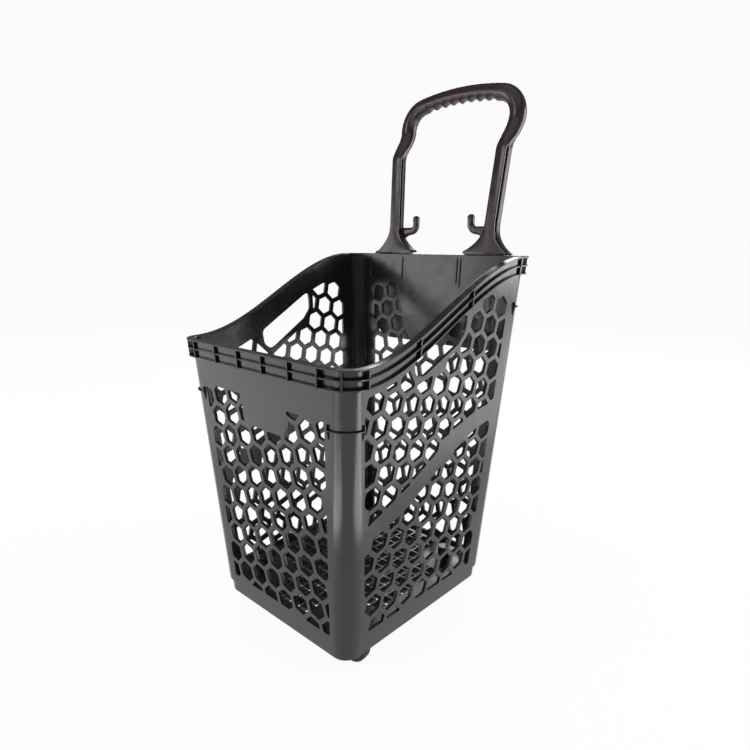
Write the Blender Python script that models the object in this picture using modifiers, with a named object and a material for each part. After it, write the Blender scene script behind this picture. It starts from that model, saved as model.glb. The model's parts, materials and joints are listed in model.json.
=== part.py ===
"""Rolling basket trolley: a tapered honeycomb basket on four small wheels, with a fixed push handle.

Frame: metres, +Z up, +Y to the back, floor at z = 0, origin at the bottom centre of the bounding box.
"""
import math

import bmesh
import bpy
from mathutils import Matrix, Vector

# ---------------------------------------------------------------- driving dimensions
GAP = 0.0003                    # clearance between touching pieces
CENTRE_Y = -0.03364             # shift that puts the box centre over the origin
BASE_Z = 0.0325                 # underside of the basket above the floor

# basket walls, at the underside and their outward taper per metre of height
FRONT_Y, FRONT_TAPER = -0.1893, 0.0562
BACK_Y, BACK_TAPER = 0.1602, 0.0651
HALF_W, SIDE_TAPER = 0.1546, 0.0789
CORNER_R = 0.032
WALL = 0.003
PLINTH_H, PLINTH_IN = 0.022, 0.0037
FLOOR_LOW, FLOOR_TOP = 0.020, 0.034
TRAY_TOP = 0.036

# rim: low in front, rising along the sides to the back
RIM_FRONT, RIM_RISE = 0.450, 0.129
RISE_START, RISE_END = -0.190, 0.165
RIM_BAND = 0.029
RIM_OUT, RIM_SKIRT = 0.0086, 0.0040
LIP = 0.0024
STOP_FRONT, STOP_BACK, STOP_OUT, STOP_T = 0.366, 0.497, 0.0036, 0.0022

# honeycomb
PITCH, HOLE = 0.0388, 0.0304
TILT = math.radians(14.0)
SMALLEST_CELL = 0.5             # share of a full cell below which a trimmed one is left out
FIELD_LOW = 0.040
RIM_MARGIN = 0.009
SIDE_FRONT_EDGE = ((-0.1825, 0.3750), (-0.1557, 0.0536))
SIDE_BACK_EDGE = ((0.1132, 0.0600), (0.1432, 0.5080))
BAND_LOW, BAND_HIGH = (-0.1589, 0.1896), (-0.1460, 0.2250)
BAND_SLOPE = 0.444
SLOT_SHIELD, SLOT_SLOPE = (-0.0432, 0.4056), 0.658
FRONT_LEFT_EDGE = ((-0.1409, 0.3640), (-0.1152, 0.0536))
FRONT_RIGHT_EDGE = ((0.1190, 0.0536), (0.1420, 0.3640))
FRONT_TOP, LABEL_LOW, LABEL_HALF = 0.378, 0.335, 0.0575
BACK_LEFT_EDGE = ((-0.1400, 0.5000), (-0.1170, 0.0536))
BACK_RIGHT_EDGE = ((0.1170, 0.0536), (0.1400, 0.5000))
BACK_TOP, SHIELD_LOW, SHIELD_HALF = 0.520, 0.4125, 0.043
SLOT_CORNERS = [((-0.0646, 0.4479), 0.006), ((-0.0620, 0.4100), 0.016),
                ((0.0500, 0.4750), 0.012), ((0.0533, 0.5085), 0.004)]

# floor grille
BAR_PITCH, BAR = 0.028, 0.004
POCKET_R, POCKET_TOP = 0.044, 0.0305
POCKET_HALF_W, POCKET_BACK, POCKET_AHEAD = 0.019, 0.021, 0.045

# handle
POST_X, POST_Y, POST_Z = 0.1083, 0.2185, 0.5810
POST_SPLAY, POST_LEAN = 0.0605, 0.1180
SECTION_W, SECTION_D, GROOVE = 0.0210, 0.0265, 0.0060
TWIST = math.radians(6.0)       # the posts' outer edges stand a little forward
FOOT_W, FOOT_H = 0.112, 0.056
NECK_LOW, NECK_HIGH, NECK_BACK = 0.7594, 0.8147, 0.0236
GRIP_TOP, ARCH_RISE, BEND_R = 0.8679, 0.0073, 0.0432
GRIP_R, GRIP_DEEP = 0.0150, 0.0148
SCALLOP, SCALLOP_PITCH = 0.0035, 0.020
PLATE_T, PLATE_OFF, PLATE_LOW, PLATE_HALF = 0.004, 0.0110, 0.410, 0.148
HOOK_R, HOOK_Z, HOOK_REACH, HOOK_RISE = 0.0060, 0.621, 0.0365, 0.029

# casters
WHEEL_R, WHEEL_W, TRAIL = 0.025, 0.020, 0.016
FRONT_PIVOT = (0.1035, -0.1385)
REAR_PIVOT = (0.1080, 0.1060)
SWIVEL = math.radians(8.0)
HUB_R, BORE_R, PIN_R = 0.0192, 0.0033, 0.0030
SIDE_PLAY, CHEEK, PLATE_H = 0.0010, 0.0025, 0.0045
STEM_R, SLEEVE_R, SOCKET_LIP, TOWER_R, TOWER_TOP = 0.0040, 0.0065, 0.0024, 0.0105, 0.0575
REAR_SCREW_R = 0.0025
SCREW_R, BOSS_R = 0.0018, 0.0070

MAIN = "rolling_basket_trolley"


# ---------------------------------------------------------------- scene helpers
def start():
    for obj in list(bpy.data.objects):
        bpy.data.objects.remove(obj, do_unlink=True)
    for name in (MAIN, "cutters"):
        old = bpy.data.collections.get(name)
        if old:
            bpy.data.collections.remove(old)
        bpy.context.scene.collection.children.link(bpy.data.collections.new(name))


def material(name, colour, roughness, metallic=0.0):
    mat = bpy.data.materials.new(name)
    mat.use_nodes = True
    shader = mat.node_tree.nodes["Principled BSDF"]
    shader.inputs["Base Color"].default_value = (*colour, 1.0)
    shader.inputs["Roughness"].default_value = roughness
    shader.inputs["Metallic"].default_value = metallic
    return mat


def keep(name, mesh, mat=None, frame=None, helper=False):
    """Add a mesh as an object: a part of the trolley, or a hidden helper for a Boolean."""
    obj = bpy.data.objects.new(name, mesh)
    bpy.data.collections["cutters" if helper else MAIN].objects.link(obj)
    if frame is not None:
        obj.matrix_world = frame
    if helper:
        obj.hide_render = True
        obj.display_type = "WIRE"
    else:
        mesh.materials.append(mat)
    return obj


def place(name, bm, mat=None, frame=None, helper=False):
    """Turn a closed bmesh into an object."""
    bmesh.ops.recalc_face_normals(bm, faces=bm.faces)
    mesh = bpy.data.meshes.new(name)
    bm.to_mesh(mesh)
    bm.free()
    return keep(name, mesh, mat, frame, helper)


def from_curve(name, curve, mat=None, frame=None, helper=False):
    """Turn a curve's evaluated shape into a mesh object with welded caps."""
    guide = bpy.data.objects.new(name + "_curve", curve)
    bpy.data.collections["cutters"].objects.link(guide)
    mesh = bpy.data.meshes.new_from_object(guide.evaluated_get(bpy.context.evaluated_depsgraph_get()))
    bpy.data.objects.remove(guide, do_unlink=True)
    bm = bmesh.new()
    bm.from_mesh(mesh)
    bmesh.ops.remove_doubles(bm, verts=bm.verts, dist=0.00005)
    return place(name, bm, mat, frame, helper)


def flat_shapes(name, outlines, thickness, frame, mat=None, helper=False):
    """Plates or cutters of one thickness, from 2D outlines in the frame's XY plane, centred on it."""
    curve = bpy.data.curves.new(name, "CURVE")
    curve.dimensions = "2D"
    curve.fill_mode = "BOTH"
    curve.extrude = thickness / 2
    for outline in outlines:
        spline = curve.splines.new("POLY")
        spline.points.add(len(outline) - 1)
        for point, (a, b) in zip(spline.points, outline):
            point.co = (a, b, 0.0, 1.0)
        spline.use_cyclic_u = True
    return from_curve(name, curve, mat, frame, helper)


def tube(name, points, radius, frame=None, mat=None, helper=False):
    """A round bar along a run of points."""
    curve = bpy.data.curves.new(name, "CURVE")
    curve.dimensions = "3D"
    curve.bevel_depth = radius
    curve.bevel_resolution = 2
    curve.use_fill_caps = True
    spline = curve.splines.new("POLY")
    spline.points.add(len(points) - 1)
    for point, co in zip(spline.points, points):
        point.co = (*co, 1.0)
    return from_curve(name, curve, mat, frame, helper)


def turned(name, profile, frame, mat, steps=12, closed=False):
    """A turned piece about the frame's Z axis; the (radius, height) profile runs down its outer side."""
    mesh = bpy.data.meshes.new(name)
    edges = [(i, i + 1) for i in range(len(profile) - 1)]
    if closed:
        edges.append((len(profile) - 1, 0))
    mesh.from_pydata([(radius, 0.0, height) for radius, height in profile], edges, [])
    obj = keep(name, mesh, mat, frame)
    mod = obj.modifiers.new("turn", "SCREW")
    mod.steps = mod.render_steps = steps
    mod.use_merge_vertices = True
    mod.merge_threshold = 0.0001
    mod.use_smooth_shade = True
    return obj


def boolean(target, helper, operation):
    mod = target.modifiers.new(helper.name, "BOOLEAN")
    mod.operation = operation
    mod.solver = "EXACT"
    mod.object = helper


def merge_flat(target):
    mod = target.modifiers.new("flat_faces", "DECIMATE")
    mod.decimate_type = "DISSOLVE"
    mod.angle_limit = math.radians(0.4)


def sweep(bm, rings):
    """Skin a list of equal closed rings and cap both ends."""
    rows = [[bm.verts.new(p) for p in ring] for ring in rings]
    count = len(rings[0])
    for low, high in zip(rows, rows[1:]):
        for i in range(count):
            j = (i + 1) % count
            bm.faces.new((low[i], low[j], high[j], high[i]))
    bm.faces.new(rows[0])
    bm.faces.new(rows[-1])


def cylinder(bm, centre, radius, low, high, axis="Z", sides=24):
    spin = Matrix() if axis == "Z" else Matrix.Rotation(-math.pi / 2, 4, "X")
    middle = spin @ Vector((0, 0, (low + high) / 2))
    bmesh.ops.create_cone(bm, cap_ends=True, segments=sides, radius1=radius, radius2=radius,
                          depth=high - low, matrix=Matrix.Translation(Vector(centre) + middle) @ spin)


def box(bm, low, high):
    size = [h - l for l, h in zip(low, high)]
    middle = [(h + l) / 2 for l, h in zip(low, high)]
    bmesh.ops.create_cube(bm, size=1.0, matrix=Matrix.Translation(middle) @ Matrix.Diagonal((*size, 1.0)))


# ---------------------------------------------------------------- basket surface
def rim_height(y):
    t = min(max((y - RISE_START) / (RISE_END - RISE_START), 0.0), 1.0)
    return RIM_FRONT + RIM_RISE * t * t * (3.0 - 2.0 * t)


def half_width(h):
    return HALF_W + SIDE_TAPER * h


def front_y(h):
    return FRONT_Y - FRONT_TAPER * h


def back_y(h):
    return BACK_Y + BACK_TAPER * h


def world(x, y, h):
    """A basket point: y before centring and h above the basket's underside."""
    return Vector((x, y + CENTRE_Y, h + BASE_Z))


def corner_point(sx, sy, angle, out, h):
    """A point round a corner; angle 0 faces the side wall and 90 degrees the front or back wall."""
    cx = half_width(h) - CORNER_R
    cy = (back_y(h) - CORNER_R) if sy > 0 else (front_y(h) + CORNER_R)
    r = CORNER_R + out
    return sx * (cx + r * math.cos(angle)), cy + sy * r * math.sin(angle)


def band_profile():
    """Cross-section of a wall with its rim: (outward, height, height is below the rim)."""
    half = RIM_BAND / 2
    rows = [(0.0, TRAY_TOP + GAP, False), (0.0, -RIM_BAND, True)]
    for top, deep in ((-RIM_BAND + LIP, RIM_SKIRT), (-half + LIP / 2, RIM_SKIRT), (0.0, None)):
        rows += [(RIM_OUT, top - LIP, True), (RIM_OUT, top, True)]
        if deep:
            rows += [(deep, top, True)]
            rows += [(deep, (-half - LIP / 2) if top < -half else -LIP, True)]
    return rows + [(-WALL, 0.0, True), (-WALL, TRAY_TOP + GAP, False)]


def wall_ring(locate):
    """The band profile at one station; locate(out, h) gives x and y."""
    x0, y0 = locate(0.0, 0.5)
    top = rim_height(y0)
    ring = []
    for out, h, from_rim in band_profile():
        level = top + h if from_rim else h
        x, y = locate(out, level)
        ring.append(world(x, y, level))
    return ring


def side_station(sx, share):
    def locate(out, h):
        low = front_y(h) + CORNER_R + GAP
        high = back_y(h) - CORNER_R - GAP
        return sx * (half_width(h) + out), low + share * (high - low)
    return locate


def end_station(sy, side):
    def locate(out, h):
        y = (back_y(h) + out) if sy > 0 else (front_y(h) - out)
        return side * (half_width(h) - CORNER_R - GAP), y
    return locate


def corner_station(sx, sy, angle):
    return lambda out, h: corner_point(sx, sy, angle, out, h)


# ---------------------------------------------------------------- honeycomb
def clip(outline, point, normal):
    """Keep the part of a convex outline on the normal's side of a line."""
    kept = []
    for i, p in enumerate(outline):
        q = outline[(i + 1) % len(outline)]
        dp = (p[0] - point[0]) * normal[0] + (p[1] - point[1]) * normal[1]
        dq = (q[0] - point[0]) * normal[0] + (q[1] - point[1]) * normal[1]
        if dp >= 0:
            kept.append(p)
        if dp * dq < 0:
            t = dp / (dp - dq)
            kept.append((p[0] + t * (q[0] - p[0]), p[1] + t * (q[1] - p[1])))
    return kept


def area(outline):
    return abs(sum(p[0] * q[1] - q[0] * p[1] for p, q in zip(outline, outline[1:] + outline[:1]))) / 2


def cells(origin, tilt, field):
    """Hexagons on a tilted lattice, trimmed by a field's border; slivers are left out."""
    found = []
    step_a = (PITCH * math.cos(tilt), PITCH * math.sin(tilt))
    step_b = (PITCH * math.cos(tilt + math.pi / 3), PITCH * math.sin(tilt + math.pi / 3))
    corner = HOLE / math.sqrt(3.0)
    for i in range(-16, 17):
        for j in range(-16, 17):
            a = origin[0] + i * step_a[0] + j * step_b[0]
            h = origin[1] + i * step_a[1] + j * step_b[1]
            hexagon = [(a + corner * math.cos(tilt + math.pi / 6 + k * math.pi / 3),
                        h + corner * math.sin(tilt + math.pi / 6 + k * math.pi / 3)) for k in range(6)]
            left = field(hexagon, (a, h))
            if left and area(left) > SMALLEST_CELL * area(hexagon):
                found.append(left)
    return found


def line_clip(outline, start, end):
    """Keep what lies to the left of the line from start to end."""
    normal = (start[1] - end[1], end[0] - start[0])
    return clip(outline, start, normal)


def side_field(outline, centre):
    """Openings of a side wall, in y and height: a field split by a rising solid band."""
    top = rim_height(centre[0]) - RIM_BAND - RIM_MARGIN
    slope = (rim_height(centre[0] + 0.01) - rim_height(centre[0] - 0.01)) / 0.02
    outline = clip(outline, (centre[0], top), (slope, -1.0))
    outline = clip(outline, (0.0, FIELD_LOW), (0.0, 1.0))
    outline = line_clip(outline, *SIDE_FRONT_EDGE)
    outline = line_clip(outline, *SIDE_BACK_EDGE)
    middle = [(low + high) / 2 for low, high in zip(BAND_LOW, BAND_HIGH)]
    if centre[1] < middle[1] + BAND_SLOPE * (centre[0] - middle[0]):
        outline = clip(outline, BAND_LOW, (BAND_SLOPE, -1.0))
    else:
        outline = clip(outline, BAND_HIGH, (-BAND_SLOPE, 1.0))
    if -0.085 < centre[0] < 0.075:
        outline = clip(outline, SLOT_SHIELD, (SLOT_SLOPE, -1.0))
    return outline


def front_field(outline, centre):
    top = LABEL_LOW if abs(centre[0]) < LABEL_HALF else FRONT_TOP
    outline = clip(outline, (0.0, top), (0.0, -1.0))
    outline = clip(outline, (0.0, FIELD_LOW), (0.0, 1.0))
    outline = line_clip(outline, *FRONT_LEFT_EDGE)
    outline = line_clip(outline, *FRONT_RIGHT_EDGE)
    if centre[1] > LABEL_LOW:
        side = math.copysign(1.0, centre[0])
        outline = clip(outline, (side * LABEL_HALF, 0.0), (side, 0.0))
    return outline


def back_field(outline, centre):
    outline = clip(outline, (0.0, BACK_TOP), (0.0, -1.0))
    outline = clip(outline, (0.0, FIELD_LOW), (0.0, 1.0))
    outline = line_clip(outline, *BACK_LEFT_EDGE)
    outline = line_clip(outline, *BACK_RIGHT_EDGE)
    if abs(centre[0]) < SHIELD_HALF:
        return clip(outline, (0.0, SHIELD_LOW), (0.0, -1.0))
    if centre[1] < SHIELD_LOW:
        return outline
    side = math.copysign(1.0, centre[0])
    return clip(outline, (side * SHIELD_HALF, SHIELD_LOW), (side, -0.49))


def slot_outline(steps=5):
    """The hand slot under a side rim, in y and height, with round ends."""
    outline = []
    for i, (p, r) in enumerate(SLOT_CORNERS):
        p = Vector(p)
        back = (Vector(SLOT_CORNERS[i - 1][0]) - p).normalized()
        ahead = (Vector(SLOT_CORNERS[(i + 1) % 4][0]) - p).normalized()
        half = back.angle(ahead) / 2
        centre = p + (back + ahead).normalized() * (r / math.sin(half))
        first = p + back * (r / math.tan(half)) - centre
        turn = math.pi - 2 * half
        sense = 1.0 if first.cross(p + ahead * (r / math.tan(half)) - centre) > 0 else -1.0
        for k in range(steps):
            a = sense * turn * k / (steps - 1)
            outline.append((centre.x + first.x * math.cos(a) - first.y * math.sin(a),
                            centre.y + first.x * math.sin(a) + first.y * math.cos(a)))
    return outline


# ---------------------------------------------------------------- basket pieces
def side_frame(depth):
    """A frame whose X runs to the back and Y upwards, at a distance to the right of the middle."""
    turn = Matrix(((0, 0, 1), (1, 0, 0), (0, 1, 0))).to_4x4()
    return Matrix.Translation(world(depth, 0.0, 0.0)) @ turn


def end_frame(y):
    """A frame whose X runs to the right and Y upwards, at a y before centring."""
    turn = Matrix(((1, 0, 0), (0, 0, -1), (0, 1, 0))).to_4x4()
    return Matrix.Translation(world(0.0, y, 0.0)) @ turn


def make_side_wall(name, sx, mat, origin):
    bm = bmesh.new()
    sweep(bm, [wall_ring(side_station(sx, i / 12)) for i in range(13)])
    wall = place(name, bm, mat)
    holes = cells(origin, -TILT, side_field) + [slot_outline()]
    boolean(wall, flat_shapes(name + "_holes", holes, 0.10, side_frame(sx * 0.18), helper=True), "DIFFERENCE")
    merge_flat(wall)


def make_front_wall(mat):
    bm = bmesh.new()
    sweep(bm, [wall_ring(end_station(-1, side)) for side in (-1, 1)])
    wall = place("basket_front_wall", bm, mat)
    holes = cells((-0.0297, 0.2478), TILT, front_field)
    boolean(wall, flat_shapes("front_holes", holes, 0.10, end_frame(-0.2), helper=True), "DIFFERENCE")
    merge_flat(wall)


def screw_places():
    """x and height of the four screws that hold the handle's plate."""
    return [(-POST_X, 0.538), (POST_X, 0.538), (-0.035, 0.455), (0.035, 0.455)]


def make_back_wall(mat):
    bm = bmesh.new()
    sweep(bm, [wall_ring(end_station(1, side)) for side in (-1, 1)])
    wall = place("basket_back_wall", bm, mat)
    bm = bmesh.new()
    for x, h in screw_places():
        cylinder(bm, world(x, 0.0, h), BOSS_R, back_y(h) - 0.002, back_y(h) + PLATE_OFF - 0.001, "Y")
    boolean(wall, place("screw_bosses", bm, helper=True), "UNION")
    holes = cells((-0.1033, 0.4723), TILT, back_field)
    boolean(wall, flat_shapes("back_holes", holes, 0.10, end_frame(0.19), helper=True), "DIFFERENCE")
    bm = bmesh.new()
    for x, h in screw_places():
        cylinder(bm, world(x, 0.0, h), SCREW_R + GAP, back_y(h) + 0.001, back_y(h) + 0.02, "Y", 12)
    boolean(wall, place("screw_holes", bm, helper=True), "DIFFERENCE")
    merge_flat(wall)


def make_corner(name, sx, sy, stop_height, mat):
    bm = bmesh.new()
    angles = [math.radians(22.5 * i) for i in range(5)]
    sweep(bm, [wall_ring(corner_station(sx, sy, a)) for a in angles])
    corner = place(name, bm, mat)
    arc = [corner_point(sx, sy, a, STOP_OUT, stop_height) for a in angles]
    arc += [corner_point(sx, sy, a, -0.0010, stop_height) for a in reversed(angles)]
    frame = Matrix.Translation(world(0.0, 0.0, stop_height))
    boolean(corner, flat_shapes(name + "_stop", [arc], STOP_T, frame, helper=True), "UNION")


def tray_ring(out, h):
    ring = []
    for sx, sy, turn in ((1, -1, (90, 0)), (1, 1, (0, 90)), (-1, 1, (90, 0)), (-1, -1, (0, 90))):
        for i in range(5):
            angle = math.radians(turn[0] + (turn[1] - turn[0]) * i / 4)
            x, y = corner_point(sx, sy, angle, out, h)
            ring.append(world(x, y, h))
    return ring


def make_floor(mat):
    """Plinth, ribbed floor and the foot of the walls, with sockets for the four casters."""
    skirt = -PLINTH_IN - WALL
    bm = bmesh.new()
    sweep(bm, [tray_ring(skirt, FLOOR_LOW), tray_ring(skirt, 0.0), tray_ring(-PLINTH_IN, 0.0),
               tray_ring(-PLINTH_IN, PLINTH_H), tray_ring(0.0, PLINTH_H), tray_ring(0.0, TRAY_TOP),
               tray_ring(-WALL, TRAY_TOP), tray_ring(-WALL, FLOOR_TOP)])
    floor = place("basket_floor", bm, mat)
    bm = bmesh.new()
    for sx in (-1, 1):
        for px, py in (FRONT_PIVOT, REAR_PIVOT):
            cylinder(bm, world(sx * px, py, 0.0), TOWER_R, POCKET_TOP + 0.001, TOWER_TOP)
    boolean(floor, place("stem_towers", bm, helper=True), "UNION")
    bm = bmesh.new()
    for i in range(-5, 6):
        for j in range(-6, 7):
            x, y = i * BAR_PITCH, (FRONT_Y + BACK_Y) / 2 + j * BAR_PITCH
            half = (BAR_PITCH - BAR) / 2
            across, along = abs(abs(x) - FRONT_PIVOT[0]), abs(y - FRONT_PIVOT[1])
            near = math.hypot(max(across - half, 0), max(along - half, 0))
            across, along = abs(abs(x) - REAR_PIVOT[0]), abs(y - REAR_PIVOT[1] - 0.006)
            rear = max(across - half - POCKET_HALF_W - 0.002, along - half - 0.034)
            inside = abs(x) < HALF_W - half - 0.007 and FRONT_Y + half + 0.007 < y < BACK_Y - half - 0.007
            if near > POCKET_R + 0.001 and rear > 0 and inside:
                box(bm, world(x - half, y - half, 0.01), world(x + half, y + half, 0.04))
    boolean(floor, place("floor_grille", bm, helper=True), "DIFFERENCE")
    bm = bmesh.new()
    for sx in (-1, 1):
        px, py = FRONT_PIVOT
        cylinder(bm, world(sx * px, py, 0.0), POCKET_R, 0.010, POCKET_TOP, sides=32)
        px, py = REAR_PIVOT
        box(bm, world(sx * px - POCKET_HALF_W, py - POCKET_BACK, 0.010),
            world(sx * px + POCKET_HALF_W, py + POCKET_AHEAD, POCKET_TOP))
    boolean(floor, place("caster_pockets", bm, helper=True), "DIFFERENCE")
    bm = bmesh.new()
    for sx in (-1, 1):
        px, py = FRONT_PIVOT
        cylinder(bm, world(sx * px, py, 0.0), SLEEVE_R + GAP, 0.025, TOWER_TOP - 0.003)
        px, py = REAR_PIVOT
        cylinder(bm, world(sx * px, py, 0.0), REAR_SCREW_R + GAP, 0.025, TOWER_TOP - 0.006, sides=16)
    boolean(floor, place("stem_holes", bm, helper=True), "DIFFERENCE")
    merge_flat(floor)


# ---------------------------------------------------------------- handle
def smooth(t):
    t = min(max(t, 0.0), 1.0)
    return t * t * (3.0 - 2.0 * t)


def handle_depth(h):
    """y of the handle's centre line at a height."""
    return POST_Y + POST_LEAN * (h - POST_Z) + NECK_BACK * smooth((h - NECK_LOW) / (NECK_HIGH - NECK_LOW))


def post_x(h):
    return POST_X + POST_SPLAY * (h - POST_Z)


def half_path():
    """Stations (x, height) from the right foot up and along the arch to the middle."""
    bend_h = GRIP_TOP - ARCH_RISE - BEND_R
    straight = [POST_Z, 0.588, 0.596, 0.606, 0.618, 0.632, 0.645, NECK_LOW - 0.03]
    straight += [NECK_LOW + (bend_h - NECK_LOW) * i / 5 for i in range(6)]
    points = [(post_x(h), h) for h in straight]
    cx = post_x(bend_h) - BEND_R
    for i in range(1, 7):
        a = math.radians(13.5 * i)
        points.append((cx + BEND_R * math.cos(a), bend_h + BEND_R * math.sin(a)))
    x0, h0 = points[-1]
    for i in range(1, 11):
        x = x0 * (1 - i / 10)
        points.append((x, h0 + (GRIP_TOP - h0) * (1 - (x / x0) ** 2)))
    return points


def section(blend, flare, scallop):
    """Handle section: across (inner side negative) and depth, from a grooved post to a round grip."""
    w, d = SECTION_W / 2, SECTION_D / 2
    edge = [(w - 0.002, -d), (w, -d + 0.0015), (w, -d + 0.0030), (w - GROOVE, -d + 0.0040),
            (w - GROOVE, -d + 0.0080), (w, -d + 0.0090), (w, d - 0.003), (w - 0.003, d)]
    post = edge + [(-s, t) for s, t in reversed(edge)]
    ring = []
    for i, (s, t) in enumerate(post):
        s += math.copysign((flare - 1.0) * w, s)
        a = -math.pi / 2 + 2 * math.pi * (i + 0.5) / len(post)
        round_s, round_t = GRIP_R * math.cos(a), GRIP_DEEP * math.sin(a)
        if round_s < 0:
            round_s += scallop * abs(math.cos(a))
        ring.append((s + blend * (round_s - s), t + blend * (round_t - t)))
    return ring


def plate_frame():
    """A frame parallel to the back wall, whose origin is level with the basket's underside."""
    lean = math.atan(BACK_TAPER)
    turn = Matrix.Rotation(math.pi / 2 - lean, 4, "X")
    return Matrix.Translation(world(0.0, BACK_Y + PLATE_OFF + PLATE_T / 2, 0.0)) @ turn


def make_handle(mat):
    right = half_path()
    path = right + [(-x, h) for x, h in reversed(right[:-1])]
    rings = []
    for i, (x, h) in enumerate(path):
        ax, ah = path[max(i - 1, 0)]
        bx, bh = path[min(i + 1, len(path) - 1)]
        along = Vector((bx - ax, bh - ah)).normalized()
        outward = Vector((along.y, -along.x))
        blend = smooth((h - NECK_LOW + 0.005) / 0.03)
        flare = 1.0 + (FOOT_W / SECTION_W - 1.0) * max(1.0 - (h - POST_Z) / FOOT_H, 0.0) ** 2.6
        grip = smooth((0.082 - abs(x)) / 0.01)
        scallop = SCALLOP * grip * abs(math.sin(math.pi * x / SCALLOP_PITCH))
        twist = TWIST * (1.0 - blend) * smooth((h - POST_Z) / FOOT_H)
        if i in (0, len(path) - 1):
            outward = Vector((math.copysign(1.0, x), 0.0))
        ring = []
        for s, t in section(blend, flare, scallop):
            across = s * math.cos(twist) + t * math.sin(twist)
            deep = t * math.cos(twist) - s * math.sin(twist)
            ring.append(world(x + outward.x * across, handle_depth(h) + deep, h + outward.y * across))
        rings.append(ring)
    bm = bmesh.new()
    sweep(bm, rings)
    handle = place("handle", bm, mat)

    rise = math.hypot(1.0, BACK_TAPER)
    low, high, tip = PLATE_LOW * rise, 0.560 * rise, (POST_Z + 0.003) * rise
    outline = [(-PLATE_HALF + 0.03, low), (PLATE_HALF - 0.03, low), (PLATE_HALF, low + 0.03),
               (PLATE_HALF, high), (0.160, tip), (-0.160, tip), (-PLATE_HALF, high), (-PLATE_HALF, low + 0.03)]
    boolean(handle, flat_shapes("back_plate", [outline], PLATE_T, plate_frame(), helper=True), "UNION")
    bm = bmesh.new()
    for x, h in screw_places():
        cylinder(bm, world(x, 0.0, h), SCREW_R + GAP, back_y(h), back_y(h) + 0.03, "Y", 12)
    boolean(handle, place("plate_holes", bm, helper=True), "DIFFERENCE")
    for sx in (-1, 1):
        boolean(handle, make_hook(sx), "UNION")


def make_hook(sx):
    """A J-shaped bag hook on the inner side of a post."""
    bend = 0.012
    depth = handle_depth(HOOK_Z) - 0.001
    reach = post_x(HOOK_Z) - SECTION_W / 2 - HOOK_REACH
    points = [world(sx * (post_x(HOOK_Z) - 0.002), depth, HOOK_Z)]
    for i in range(7):
        a = math.radians(15.0 * i)
        across = reach + bend * (1.0 - math.sin(a))
        points.append(world(sx * across, depth, HOOK_Z + bend * (1.0 - math.cos(a))))
    points.append(world(sx * reach, depth, HOOK_Z + HOOK_RISE))
    return tube(f"hook_{'left' if sx < 0 else 'right'}_form", points, HOOK_R, helper=True)


def make_screws(mat):
    for number, (x, h) in enumerate(screw_places(), 1):
        seat = back_y(h) + PLATE_OFF + PLATE_T + GAP + 0.0004
        bm = bmesh.new()
        cylinder(bm, world(x, 0.0, h), 0.0042, seat, seat + 0.0026, "Y", 12)
        head = place(f"handle_screw_{number}", bm, mat)
        bm = bmesh.new()
        cylinder(bm, world(x, 0.0, h), SCREW_R, back_y(h) + 0.002, seat + 0.001, "Y", 8)
        boolean(head, place(f"screw_shank_{number}", bm, helper=True), "UNION")


# ---------------------------------------------------------------- casters
def make_wheel(label, mats, frame):
    """Tyre, hub and axle pin; the frame has the wheel's centre at its origin and the axle along Z."""
    half = WHEEL_W / 2
    tyre = [(HUB_R + GAP, half), (WHEEL_R - 0.003, half), (WHEEL_R, half - 0.004), (WHEEL_R, -half + 0.004),
            (WHEEL_R - 0.003, -half), (HUB_R + GAP, -half)]
    turned(f"{label}_tyre", tyre, frame, mats["tyre"], steps=24, closed=True)
    face = half - 0.001
    hub = [(BORE_R, half), (0.0075, half), (HUB_R - 0.003, 0.004), (HUB_R, face), (HUB_R, -face),
           (HUB_R - 0.003, -0.004), (0.0075, -half), (BORE_R, -half)]
    turned(f"{label}_hub", hub, frame, mats["hub"], steps=16, closed=True)
    head = half + SIDE_PLAY + CHEEK + GAP
    pin = [(0.0, head + 0.0020), (0.0042, head + 0.0020), (0.0048, head), (PIN_R, head), (PIN_R, -head),
           (0.0048, -head), (0.0042, -head - 0.0020), (0.0, -head - 0.0020)]
    turned(f"{label}_axle", pin, frame, mats["steel"])


def make_fork(name, mat, frame, top, plate, hole):
    """A one-piece fork: a top plate and two cheeks that hold the axle."""
    bm = bmesh.new()
    box(bm, (-plate[0] / 2, -plate[1] / 2, top - PLATE_H), (plate[0] / 2, plate[1] / 2, top))
    fork = place(name, bm, mat, frame)
    foot = TRAIL - 0.0015
    outline = [(-0.013, top - 0.001), (0.013, top - 0.001), (0.0235, WHEEL_R + 0.010), (0.0250, WHEEL_R)]
    for i in range(1, 5):
        a = math.radians(45.0 * i - 20.0)
        outline.append((TRAIL + 0.0088 * math.cos(a), WHEEL_R - 0.0088 * math.sin(a)))
    outline += [(foot - 0.011, WHEEL_R + 0.002), (-0.013, top - PLATE_H - 0.004)]
    stand = frame @ Matrix.Rotation(math.pi / 2, 4, "X")
    for side in (-1, 1):
        cheek_at = stand @ Matrix.Translation((0, 0, side * (WHEEL_W / 2 + SIDE_PLAY + CHEEK / 2)))
        cheek = flat_shapes(f"{name}_cheek_{side + 1}", [outline], CHEEK, cheek_at, helper=True)
        boolean(fork, cheek, "UNION")
    bm = bmesh.new()
    cylinder(bm, (TRAIL, 0.0, WHEEL_R), PIN_R + GAP, -0.025, 0.025, "Y", 12)
    cylinder(bm, (0.0, 0.0, top), hole, -0.01, 0.01, sides=16)
    boolean(fork, place(name + "_bores", bm, frame=frame, helper=True), "DIFFERENCE")
    merge_flat(fork)


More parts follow.
